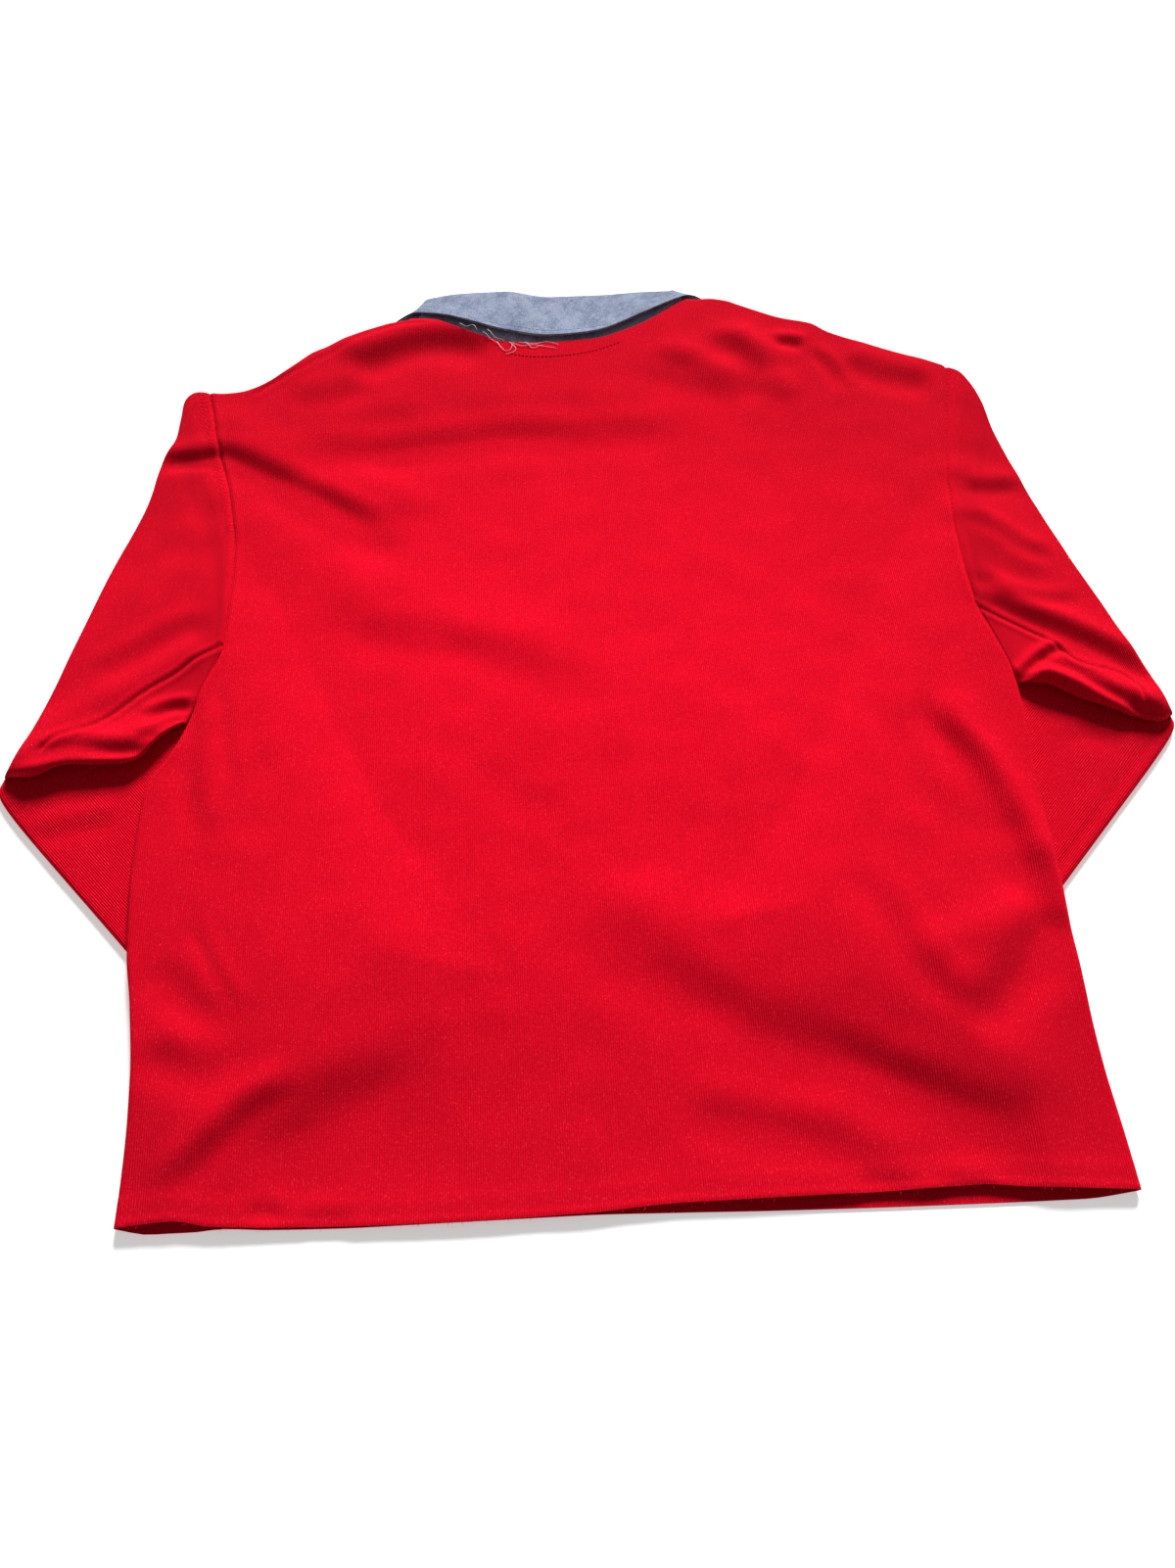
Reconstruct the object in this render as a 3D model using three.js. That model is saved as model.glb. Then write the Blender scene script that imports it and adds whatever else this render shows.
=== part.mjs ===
// A long-sleeved rugby shirt in heavy cotton jersey, laid flat with its back up and forearms tucked under.
// Millimetres. +X is the right of the shirt as it lies, +Y runs from the hem to the collar, +Z is up.
// The origin is in the middle of the shirt, on the underside of the front panel, where the shirt rests.
import * as THREE from 'three';

// Driving dimensions: cloth
const WALL = 1.5;
const RIB_WALL = 2.0;
const SEAM_GAP = 0.3;
const ARMHOLE_PARTING = 0.35;
const TIP_PARTING = 0.9;
const TIP_RUN = 6;
const AIR = 3.4;
const LEAST_AIR = 0.7;
const AIR_SOFTNESS = 0.6;

// Driving dimensions: body, with the hem at Y = 0 and the origin set at ORIGIN_Y at the end
const ORIGIN_Y = 330;
const HEM_LEFT_X = -308;
const HEM_RIGHT_X = 313;
const HEM_LEFT_Y = 4;
const HEM_RIGHT_Y = -6;
const SHOULDER_LEFT_X = -311;
const SHOULDER_RIGHT_X = 321;
const SHOULDER_LEFT_Y = 675;
const SHOULDER_RIGHT_Y = 673;
const ARMPIT_LEFT_Y = 415;
const ARMPIT_RIGHT_Y = 425;
const NECK_LEFT_X = -144;
const NECK_RIGHT_X = 108;

// Driving dimensions: sleeves and cuffs
const UPPER_SLEEVE_LENGTH = 250;
const FOREARM_HEIGHT = 6.0;
const FOREARM_LENGTH = 190;
const CUFF_LENGTH = 60;
const CUFF_WIDTH = 92;
const CUFF_TAPER = 6;
const FOREARM_WIDTH_AT_ELBOW = 150;
const FOREARM_WIDTH_AT_WRIST = 112;
const ELBOW_BEND = 2.5;
const SWELL_SHIFT = 0.35;
const REST_ON_CLEARANCE = 0.4;

// Driving dimensions: collar, placket and buttons
const COLLAR_WALL = 1.5;
const COLLAR_FOLD_GAP = 0.4;
const FOLD_TURN = 180;
const PLACKET_WIDTH = 32;
const PLACKET_WALL = 1.5;
const PLACKET_TOP_Y = 625;
const PLACKET_BOTTOM_Y = 420;
const PLACKET_TOP_X = -18;
const PLACKET_BOTTOM_X = -4;
const BUTTON_RADIUS = 6.5;
const BUTTON_THICKNESS = 1.8;
const BUTTON_COUNT = 3;
const BUTTON_TAPER = 0.94;
const LEAF_CLEARANCE = 0.6;
const LEAF_LIFT = COLLAR_WALL + LEAF_CLEARANCE;
const PLACKET_LIFT = BUTTON_THICKNESS + 2 * SEAM_GAP + PLACKET_WALL;

// Outlines, a row for each point
const HEM_BACK = [
  { x: -308, y: 4 }, { x: -273, y: 6 }, { x: -250, y: 2 }, { x: -196, y: -1 }, { x: -107, y: -3 },
  { x: -26, y: -2 }, { x: 36, y: 1 }, { x: 146, y: 1 }, { x: 215, y: 2 }, { x: 247, y: -1 },
  { x: 313, y: -6 },
];
const HEM_FRONT = [
  { x: -308, y: 4 }, { x: -286, y: 0 }, { x: -262, y: 0 }, { x: -246, y: 1 }, { x: -215, y: -1 },
  { x: -154, y: -2.5 }, { x: -31, y: -2.5 }, { x: 30, y: -4 }, { x: 92, y: -6 }, { x: 185, y: -8 },
  { x: 279, y: -9 }, { x: 313, y: -6 },
];
const LEFT_EDGE = [
  { y: 4, x: -308 }, { y: 60, x: -306.5 }, { y: 94, x: -307.5 }, { y: 140, x: -313 },
  { y: 175, x: -319 }, { y: 240, x: -323 }, { y: 286, x: -322 }, { y: 305, x: -317 },
  { y: 320, x: -307 }, { y: 345, x: -297 }, { y: 377, x: -288 }, { y: 415, x: -275 },
  { y: 480, x: -275 }, { y: 519, x: -277 }, { y: 538, x: -280 }, { y: 570, x: -286 },
  { y: 605, x: -296 }, { y: 645, x: -304 }, { y: 675, x: -311 },
];
const RIGHT_EDGE = [
  { y: -6, x: 313 }, { y: 20, x: 312 }, { y: 37, x: 311 }, { y: 68, x: 308.5 }, { y: 104, x: 307 },
  { y: 152, x: 307 }, { y: 193, x: 308 }, { y: 268, x: 309 }, { y: 336, x: 312 }, { y: 362, x: 311 },
  { y: 390, x: 304 }, { y: 425, x: 295 }, { y: 465, x: 293 }, { y: 500, x: 294 }, { y: 536, x: 297 },
  { y: 573, x: 302 }, { y: 625, x: 312 }, { y: 673, x: 321 },
];
const SHOULDER_AND_BACK_NECK = [
  { x: -311, y: 675 }, { x: -298, y: 674 }, { x: -285, y: 675 }, { x: -273, y: 679 },
  { x: -261, y: 686 }, { x: -249, y: 696 }, { x: -237, y: 706 }, { x: -225, y: 716 },
  { x: -213, y: 722 }, { x: -200, y: 730 }, { x: -188, y: 735 }, { x: -170, y: 742 },
  { x: -157, y: 746 }, { x: -144, y: 747 }, { x: -122, y: 744 }, { x: -100, y: 732 }, { x: -72, y: 719 },
  { x: -53, y: 715 }, { x: -18, y: 713 }, { x: 17, y: 715 }, { x: 53, y: 728 }, { x: 71, y: 738 },
  { x: 90, y: 752 }, { x: 108, y: 761 }, { x: 123, y: 760 }, { x: 138, y: 756 }, { x: 151, y: 750 },
  { x: 165, y: 744 }, { x: 183, y: 737 }, { x: 211, y: 729 }, { x: 223, y: 719 }, { x: 254, y: 704 },
  { x: 278, y: 693 }, { x: 311, y: 679 }, { x: 321, y: 673 },
];
const FRONT_NECK = [
  { x: -144, y: 747 }, { x: -139.5, y: 733 }, { x: -124, y: 700 }, { x: -98, y: 664 }, { x: -60, y: 636 },
  { x: -18, y: 628 }, { x: 24, y: 641 }, { x: 62, y: 673 }, { x: 88, y: 712 }, { x: 103.5, y: 745 },
  { x: 108, y: 761 },
];
const SLEEVE_LEFT = {
  outerEdge: [
    { x: -312.3, y: 675 }, { x: -323, y: 677 }, { x: -330.5, y: 670 }, { x: -333, y: 645 },
    { x: -335, y: 623 }, { x: -343, y: 603 }, { x: -350, y: 557 }, { x: -369, y: 495 },
    { x: -383, y: 436 }, { x: -398, y: 378 }, { x: -408, y: 345 }, { x: -422, y: 311 },
  ],
  rollEdge: [
    { x: -422, y: 311 }, { x: -401, y: 308 }, { x: -379, y: 315 }, { x: -353, y: 315 }, { x: -330, y: 317 },
    { x: -314, y: 334 }, { x: -304, y: 344 }, { x: -298.5, y: 347 },
  ],
  innerEdge: [{ x: -276, y: 415 }, { x: -289, y: 377 }, { x: -298.5, y: 347 }],
};
const SLEEVE_RIGHT = {
  outerEdge: [
    { x: 322.3, y: 673 }, { x: 331, y: 668 }, { x: 338, y: 655 }, { x: 344, y: 632 }, { x: 347, y: 600 },
    { x: 356, y: 555 }, { x: 366, y: 512 }, { x: 374, y: 480 }, { x: 380, y: 455 }, { x: 392, y: 415 },
    { x: 403, y: 376 }, { x: 413, y: 345 }, { x: 420, y: 319 },
  ],
  rollEdge: [
    { x: 420, y: 319 }, { x: 410, y: 313 }, { x: 392, y: 316 }, { x: 370, y: 326 }, { x: 351, y: 335 },
    { x: 333, y: 346 }, { x: 317, y: 352 },
  ],
  innerEdge: [{ x: 296.5, y: 425 }, { x: 305.5, y: 390 }, { x: 317, y: 352 }],
};
// The forearm's outer edge as it shows, then straight on under the body
const FOREARM_LEFT = {
  tip: { x: -425, y: 306 }, direction: { x: 0.634, y: -0.773 }, inward: { x: 0.773, y: 0.634 },
  tuck: 24, swell: 7,
};
const FOREARM_RIGHT = {
  tip: { x: 421, y: 316 }, direction: { x: -0.667, y: -0.745 }, inward: { x: -0.745, y: 0.667 },
  tuck: 24, swell: 5.5,
};

// The largest folds of the upper layer: a row for each, from one end to the other, with its reach to each
// side and its height, negative for a trough
const FOLDS = [
  { name: 'left shoulder ridge', fromX: -290, fromY: 636, toX: -150, toY: 552, reach: 20, height: 2.6 },
  { name: 'left shoulder trough', fromX: -292, fromY: 597, toX: -165, toY: 500, reach: 18, height: -2.4 },
  { name: 'upper back ridge', fromX: -250, fromY: 652, toX: 20, toY: 652, reach: 18, height: 2.2 },
  { name: 'upper back trough', fromX: -215, fromY: 590, toX: -30, toY: 600, reach: 18, height: -1.8 },
  { name: 'middle left ridge', fromX: -180, fromY: 466, toX: -40, toY: 410, reach: 26, height: 1.8 },
  { name: 'right shoulder ridge', fromX: 150, fromY: 716, toX: 178, toY: 654, reach: 13, height: 2.4 },
  { name: 'right shoulder trough', fromX: 132, fromY: 706, toX: 150, toY: 650, reach: 12, height: -1.6 },
  { name: 'low right ridge', fromX: 28, fromY: 196, toX: 245, toY: 74, reach: 24, height: 5.2 },
  { name: 'low right trough', fromX: 10, fromY: 148, toX: 228, toY: 30, reach: 20, height: -2.6 },
  { name: 'right armpit ridge', fromX: 262, fromY: 330, toX: 296, toY: 220, reach: 16, height: 3.0 },
  { name: 'right armpit trough', fromX: 236, fromY: 320, toX: 278, toY: 235, reach: 14, height: -1.8 },
  { name: 'right side ridge', fromX: 214, fromY: 150, toX: 270, toY: 170, reach: 16, height: 2.4 },
  { name: 'low left ridge', fromX: -250, fromY: 70, toX: -120, toY: 122, reach: 20, height: 3.2 },
  { name: 'low left trough', fromX: -262, fromY: 26, toX: -130, toY: 84, reach: 17, height: -2.2 },
  { name: 'left side trough', fromX: -286, fromY: 158, toX: -246, toY: 100, reach: 14, height: -1.8 },
  { name: 'back billow', fromX: -60, fromY: 330, toX: 90, toY: 300, reach: 90, height: 2.4 },
  { name: 'right hem lift', fromX: 60, fromY: 4, toX: 270, toY: -2, reach: 22, height: 0.5 },
  { name: 'left elbow roll', fromX: -404, fromY: 324, toX: -326, toY: 336, reach: 17, height: 6.5 },
  { name: 'left sleeve ridge', fromX: -300, fromY: 404, toX: -392, toY: 350, reach: 14, height: 2.6 },
  { name: 'right elbow roll', fromX: 338, fromY: 356, toX: 404, toY: 330, reach: 15, height: 6 },
  { name: 'right sleeve ridge', fromX: 318, fromY: 430, toX: 402, toY: 376, reach: 14, height: 3.4 },
  { name: 'right sleeve upper band', fromX: 306, fromY: 556, toX: 352, toY: 546, reach: 12, height: 1.6 },
  { name: 'right sleeve middle band', fromX: 300, fromY: 514, toX: 344, toY: 458, reach: 12, height: 1.8 },
];

// The collar from its left front end, round the back of the neck, to its right front end. Each row has the
// neck seam, the fold line and the outer edge, the way the leaf lies off the stand (degrees in the XZ
// plane, 90 is up) and the radius of the fold.
const COLLAR = [
  { name: 'left front end', seamX: -24, seamY: 630.5, seamZ: 2.85, foldX: -25, foldY: 656, foldZ: 1.8,
    edgeX: -62, edgeY: 566, edgeZ: 0.75, way: 270, radius: 1.05 },
  { name: 'left front', seamX: -59, seamY: 638.5, seamZ: 2.85, foldX: -56, foldY: 671, foldZ: 1.8,
    edgeX: -112, edgeY: 597, edgeZ: 0.75, way: 270, radius: 1.05 },
  { name: 'left front bend', seamX: -96, seamY: 666, seamZ: 2.85, foldX: -88, foldY: 700, foldZ: 1.8,
    edgeX: -151, edgeY: 641, edgeZ: 0.75, way: 270, radius: 1.05 },
  { name: 'left neck side', seamX: -122, seamY: 703, seamZ: 2.85, foldX: -112, foldY: 735, foldZ: 1.8,
    edgeX: -169, edgeY: 697, edgeZ: 0.75, way: 270, radius: 1.05 },
  { name: 'left shoulder', seamX: -138, seamY: 738, seamZ: 2.85, foldX: -128, foldY: 762, foldZ: 1.8,
    edgeX: -165, edgeY: 741, edgeZ: 0.75, way: 270, radius: 1.05 },
  { name: 'left crease', seamX: -143, seamY: 756, seamZ: 4.3, foldX: -135, foldY: 772, foldZ: 4.9,
    edgeX: -154, edgeY: 760, edgeZ: 5.3, way: 180, radius: 1.6 },
  { name: 'back left end', seamX: -128, seamY: 752, seamZ: 6.0, foldX: -122, foldY: 772, foldZ: 7.9,
    edgeX: -128, edgeY: 754, edgeZ: 10.4, way: 90, radius: 1.9 },
  { name: 'back left', seamX: -99, seamY: 728, seamZ: 5.85, foldX: -99, foldY: 776, foldZ: 7.8,
    edgeX: -98, edgeY: 744, edgeZ: 10.4, way: 90, radius: 1.9 },
  { name: 'back left bend', seamX: -56, seamY: 712, seamZ: 5.85, foldX: -58, foldY: 777, foldZ: 7.8,
    edgeX: -57, edgeY: 728, edgeZ: 10.4, way: 90, radius: 1.9 },
  { name: 'back middle', seamX: -18, seamY: 710, seamZ: 5.85, foldX: -17, foldY: 768, foldZ: 7.8,
    edgeX: -17, edgeY: 719, edgeZ: 10.4, way: 90, radius: 1.9 },
  { name: 'back right bend', seamX: 24, seamY: 714.5, seamZ: 5.85, foldX: 26, foldY: 768, foldZ: 7.8,
    edgeX: 25, edgeY: 723, edgeZ: 10.4, way: 90, radius: 1.9 },
  { name: 'back right', seamX: 62, seamY: 731, seamZ: 5.85, foldX: 66, foldY: 770, foldZ: 7.8,
    edgeX: 64, edgeY: 743, edgeZ: 10.4, way: 90, radius: 1.9 },
  { name: 'back right end', seamX: 88, seamY: 757, seamZ: 6.0, foldX: 88, foldY: 770, foldZ: 7.9,
    edgeX: 92, edgeY: 759, edgeZ: 10.4, way: 90, radius: 1.9 },
  { name: 'right crease', seamX: 105, seamY: 770, seamZ: 4.3, foldX: 98, foldY: 778, foldZ: 4.9,
    edgeX: 118, edgeY: 772, edgeZ: 5.3, way: 0, radius: 1.6 },
  { name: 'right shoulder', seamX: 100, seamY: 751, seamZ: 2.85, foldX: 90, foldY: 769, foldZ: 1.8,
    edgeX: 133, edgeY: 748, edgeZ: 0.75, way: -90, radius: 1.05 },
  { name: 'right neck side', seamX: 86, seamY: 715, seamZ: 2.85, foldX: 76, foldY: 745, foldZ: 1.8,
    edgeX: 133, edgeY: 711, edgeZ: 0.75, way: -90, radius: 1.05 },
  { name: 'right front bend', seamX: 60, seamY: 675, seamZ: 2.85, foldX: 52, foldY: 706, foldZ: 1.8,
    edgeX: 115, edgeY: 652, edgeZ: 0.75, way: -90, radius: 1.05 },
  { name: 'right front', seamX: 23, seamY: 643.5, seamZ: 2.85, foldX: 20, foldY: 674, foldZ: 1.8,
    edgeX: 76, edgeY: 604, edgeZ: 0.75, way: -90, radius: 1.05 },
  { name: 'right front end', seamX: -12, seamY: 631.5, seamZ: 2.85, foldX: -11, foldY: 657, foldZ: 1.8,
    edgeX: 26, edgeY: 569, edgeZ: 0.75, way: -90, radius: 1.05 },
];

// How finely the pieces are stepped
const EDGE_STEPS = [0, 0.4, 1.5, 3.5];
const AT_CORNER = 0.01;
const SLEEVE_EDGE_STEPS = [0, 0.8, 3.0];
const BODY_WIDTH = HEM_RIGHT_X - HEM_LEFT_X;
const BODY_LENGTH = 700;
const COLUMNS_BESIDE_NECK = 7;
const COLUMNS_AT_NECK = 12;
const ROWS_BELOW_ARMPITS = 13;
const ROWS_ABOVE_ARMPITS = 8;
const FOREARM_COLUMNS = 5;
const FOREARM_STEPS = 9;
const CUFF_STEPS = 3;
const SLEEVE_ROWS = 10;
const ROLL_CAP = 0.15;
const COLLAR_STEPS_PER_ROW = 2;
const PLACKET_STEPS = 8;
const PLACKET_SIDES = [-1, -0.3, 0.3, 1];
const BUTTON_SEGMENTS = 20;

// Materials
const material = (color, roughness) => new THREE.MeshStandardMaterial({ color, roughness, metalness: 0 });
const jersey = () => material(0xdc0a26, 0.92);
const rib = () => material(0xc80a22, 0.94);
const collarCloth = () => material(0xa3b0c8, 0.85);
const rubber = () => material(0xd8d4cc, 0.6);

const lerp = (a, b, t) => a + (b - a) * t;
const clamp01 = (t) => Math.min(1, Math.max(0, t));
const smooth = (t) => clamp01(t) * clamp01(t) * (3 - 2 * clamp01(t));

// A curve through the rows of a table that never overshoots them
function tableCurve(rows, along, value) {
  const xs = rows.map((row) => row[along]);
  const ys = rows.map((row) => row[value]);
  const slopes = xs.slice(1).map((x, k) => (ys[k + 1] - ys[k]) / (x - xs[k]));
  const tangents = ys.map((_, k) => {
    if (k === 0) return slopes[0];
    if (k === ys.length - 1) return slopes[k - 1];
    const [a, b] = [slopes[k - 1], slopes[k]];
    return a * b <= 0 ? 0 : (2 * a * b) / (a + b);
  });
  return (x) => {
    const at = Math.min(Math.max(x, xs[0]), xs[xs.length - 1]);
    const k = Math.max(0, Math.min(xs.length - 2, xs.findIndex((v) => v > at) - 1));
    const index = at >= xs[xs.length - 1] ? xs.length - 2 : k;
    const span = xs[index + 1] - xs[index];
    const t = (at - xs[index]) / span;
    const [t2, t3] = [t * t, t * t * t];
    return (2 * t3 - 3 * t2 + 1) * ys[index] + (t3 - 2 * t2 + t) * span * tangents[index]
      + (3 * t2 - 2 * t3) * ys[index + 1] + (t3 - t2) * span * tangents[index + 1];
  };
}

const hemBack = tableCurve(HEM_BACK, 'x', 'y');
const hemFront = tableCurve(HEM_FRONT, 'x', 'y');
const leftEdge = tableCurve(LEFT_EDGE, 'y', 'x');
const rightEdge = tableCurve(RIGHT_EDGE, 'y', 'x');
const topBack = tableCurve(SHOULDER_AND_BACK_NECK, 'x', 'y');
const frontNeck = tableCurve(FRONT_NECK, 'x', 'y');
const topFront = (x) => (x > NECK_LEFT_X && x < NECK_RIGHT_X ? frontNeck(x) : topBack(x));

// A plan outline of the forearm, from under the elbow to the end of the cuff
function forearmPoint(arm, along, across) {
  return {
    x: arm.tip.x + arm.direction.x * along + arm.inward.x * across,
    y: arm.tip.y + arm.direction.y * along + arm.inward.y * across,
  };
}
function forearmWidth(along) {
  return lerp(FOREARM_WIDTH_AT_ELBOW, FOREARM_WIDTH_AT_WRIST, clamp01(along / FOREARM_LENGTH));
}

// What lies beneath the front panel: its outline, how far it lifts the cloth, how far past the outline the
// cloth stays lifted, and the run over which it then comes down
const forearmPlan = (arm) => [
  forearmPoint(arm, -arm.tuck, arm.tuck * ELBOW_BEND),
  forearmPoint(arm, 0, 0),
  forearmPoint(arm, FOREARM_LENGTH + CUFF_LENGTH, 0),
  forearmPoint(arm, FOREARM_LENGTH + CUFF_LENGTH, CUFF_WIDTH + CUFF_TAPER),
  forearmPoint(arm, FOREARM_LENGTH, FOREARM_WIDTH_AT_WRIST),
  forearmPoint(arm, 0, FOREARM_WIDTH_AT_ELBOW),
  forearmPoint(arm, -arm.tuck, FOREARM_WIDTH_AT_ELBOW),
];
const COLLAR_PLAN = [
  { x: -62, y: 562 }, { x: -152, y: 640 }, { x: -172, y: 704 }, { x: -152, y: 762 },
  { x: 116, y: 770 }, { x: 136, y: 712 }, { x: 116, y: 648 }, { x: 26, y: 566 },
];
const placketCorner = (x, y, side) => ({ x: x + side * PLACKET_WIDTH / 2, y });
const PLACKET_PLAN = [
  placketCorner(PLACKET_TOP_X, PLACKET_TOP_Y, -1),
  placketCorner(PLACKET_BOTTOM_X, PLACKET_BOTTOM_Y, -1),
  placketCorner(PLACKET_BOTTOM_X, PLACKET_BOTTOM_Y, 1),
  placketCorner(PLACKET_TOP_X, PLACKET_TOP_Y, 1),
];
const ARM_LIFT = FOREARM_HEIGHT + REST_ON_CLEARANCE;
const UNDERLAYS = [
  { plan: forearmPlan(FOREARM_LEFT), height: ARM_LIFT, margin: 28, fall: 80, drape: 80 },
  { plan: forearmPlan(FOREARM_RIGHT), height: ARM_LIFT, margin: 28, fall: 80, drape: 80 },
  { plan: COLLAR_PLAN, height: LEAF_LIFT, margin: 22, fall: 60, drape: 60 },
  { plan: PLACKET_PLAN, height: PLACKET_LIFT, margin: 22, fall: 36, drape: 130 },
];

// Distance outside a convex outline, 0 inside it, whichever way round its points go
function distanceOutside(plan, x, y) {
  const centreX = plan.reduce((sum, p) => sum + p.x, 0) / plan.length;
  const centreY = plan.reduce((sum, p) => sum + p.y, 0) / plan.length;
  const sides = plan.map((p, k) => {
    const q = plan[(k + 1) % plan.length];
    const length = Math.hypot(q.x - p.x, q.y - p.y);
    const side = (px, py) => ((px - p.x) * (q.y - p.y) - (py - p.y) * (q.x - p.x)) / length;
    return side(x, y) * Math.sign(-side(centreX, centreY));
  });
  return Math.max(0, ...sides);
}

function distanceToSegment(fold, x, y) {
  const [dx, dy] = [fold.toX - fold.fromX, fold.toY - fold.fromY];
  const t = clamp01(((x - fold.fromX) * dx + (y - fold.fromY) * dy) / (dx * dx + dy * dy));
  return Math.hypot(x - fold.fromX - t * dx, y - fold.fromY - t * dy);
}

// How far the things beneath lift the cloth, which comes down past them within its run, fall or drape
function lift(x, y, run) {
  return Math.max(...UNDERLAYS.map((u) => {
    const past = distanceOutside(u.plan, x, y) - u.margin;
    return u.height * smooth(1 - past / u[run]);
  }));
}
function foldHeight(x, y) {
  const heights = FOLDS.map((f) => f.height * Math.exp(-((distanceToSegment(f, x, y) / f.reach) ** 2)));
  return heights.reduce((sum, height) => sum + height, 0);
}

// The two faces of the laid cloth: the underside of the lower layer and the top of the upper layer
function underside(x, y) {
  return lift(x, y, 'fall');
}
function topside(x, y) {
  const spare = AIR - LEAST_AIR + foldHeight(x, y);
  const air = LEAST_AIR + (spare + Math.hypot(spare, AIR_SOFTNESS)) / 2;
  return lift(x, y, 'drape') + 2 * WALL + air;
}

// How much of the full height a folded edge has reached at a distance in from the fold
function roundness(distance, halfHeight) {
  const t = clamp01(distance / halfHeight);
  return Math.sqrt(1 - (1 - t) ** 2);
}

// A wall of cloth on a grid of points. rows[j][i] is on the outer face; facing is 1 where the outer face
// looks along (next i) x (next j). Columns wrap round on a tube, and a zipped tube is closed at its last
// row. Where level(i, j) holds, the wall's thickness is measured level.
function wall(rows, options) {
  const { thickness = WALL, facing = 1, wrap = false, zip = false, level = () => false, normals } = options;
  const [rowCount, columnCount] = [rows.length, rows[0].length];
  const column = (i) => (wrap ? (i + columnCount) % columnCount : Math.min(columnCount - 1, Math.max(0, i)));
  const row = (j) => Math.min(rowCount - 1, Math.max(0, j));
  const positions = [];
  const inner = [];
  rows.forEach((points, j) => points.forEach((p, i) => {
    const across = points[column(i + 1)].clone().sub(points[column(i - 1)]);
    const along = rows[row(j + 1)][i].clone().sub(rows[row(j - 1)][i]);
    const normal = across.cross(along).multiplyScalar(facing);
    if (level(i, j)) normal.z = 0;
    const outward = normals ? normals[j][i] : normal.normalize();
    inner.push(p.clone().addScaledVector(outward, -thickness));
    positions.push(p);
  }));
  const skin = positions.length;
  const faces = [];
  const quad = (a, b, c, d) => faces.push([a, b, c], [a, c, d]);
  const at = (i, j) => j * columnCount + column(i);
  const cellColumns = wrap ? columnCount : columnCount - 1;
  for (let j = 0; j < rowCount - 1; j += 1) {
    for (let i = 0; i < cellColumns; i += 1) {
      quad(at(i, j), at(i + 1, j), at(i + 1, j + 1), at(i, j + 1));
      quad(skin + at(i, j), skin + at(i, j + 1), skin + at(i + 1, j + 1), skin + at(i + 1, j));
    }
  }
  const rim = (a, b) => quad(b, a, skin + a, skin + b);
  for (let i = 0; i < cellColumns; i += 1) {
    rim(at(i, 0), at(i + 1, 0));
    if (!zip) rim(at(i + 1, rowCount - 1), at(i, rowCount - 1));
  }
  for (let j = 0; j < rowCount - 1 && !wrap; j += 1) {
    rim(at(0, j + 1), at(0, j));
    rim(at(columnCount - 1, j), at(columnCount - 1, j + 1));
  }
  for (let k = 0; zip && k < columnCount / 2; k += 1) {
    const last = rowCount - 1;
    const ring = [at(k, last), at(k + 1, last), at(-k - 1, last), at(-k, last)];
    const corners = ring.filter((v, n) => ring.indexOf(v) === n);
    const cap = corners.slice(2).map((_, n) => [corners[0], corners[n + 1], corners[n + 2]]);
    cap.forEach(([a, b, c]) => faces.push([a, b, c], [skin + a, skin + c, skin + b]));
  }
  const points = positions.concat(inner);
  const geometry = new THREE.BufferGeometry();
  geometry.setAttribute('position', new THREE.Float32BufferAttribute(points.flatMap((p) => p.toArray()), 3));
  const wound = faces.flatMap(([a, b, c]) => (facing > 0 ? [a, b, c] : [a, c, b]));
  geometry.setIndex(wound);
  geometry.computeVertexNormals();
  return geometry;
}

// Even steps, without the last
function stepsBetween(from, to, count) {
  return Array.from({ length: count }, (_, k) => lerp(from, to, k / count));
}
// The body's steps across and up, from 0 to 1, fine at the edges that fold
function bodyColumns() {
  const edge = EDGE_STEPS.map((d) => d / BODY_WIDTH);
  const inset = edge[edge.length - 1];
  const shoulderWidth = SHOULDER_RIGHT_X - SHOULDER_LEFT_X;
  const neckLeft = (NECK_LEFT_X - SHOULDER_LEFT_X) / shoulderWidth;
  const neckRight = (NECK_RIGHT_X - SHOULDER_LEFT_X) / shoulderWidth;
  return [
    ...edge.slice(0, -1),
    ...stepsBetween(inset, neckLeft, COLUMNS_BESIDE_NECK),
    ...stepsBetween(neckLeft, neckRight, COLUMNS_AT_NECK),
    ...stepsBetween(neckRight, 1 - inset, COLUMNS_BESIDE_NECK),
    ...edge.map((u) => 1 - u).reverse(),
  ];
}
const leftRowY = (v) => lerp(HEM_LEFT_Y, SHOULDER_LEFT_Y, v);
const rightRowY = (v) => lerp(HEM_RIGHT_Y, SHOULDER_RIGHT_Y, v);
function bodyRows() {
  const edge = EDGE_STEPS.map((d) => 1 - d / BODY_LENGTH).reverse();
  const leftArmpit = (ARMPIT_LEFT_Y - HEM_LEFT_Y) / (SHOULDER_LEFT_Y - HEM_LEFT_Y);
  const rightArmpit = (ARMPIT_RIGHT_Y - HEM_RIGHT_Y) / (SHOULDER_RIGHT_Y - HEM_RIGHT_Y);
  return [
    ...stepsBetween(0, leftArmpit, ROWS_BELOW_ARMPITS), leftArmpit,
    ...stepsBetween(rightArmpit, edge[0], ROWS_ABOVE_ARMPITS), ...edge,
  ];
}

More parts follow.
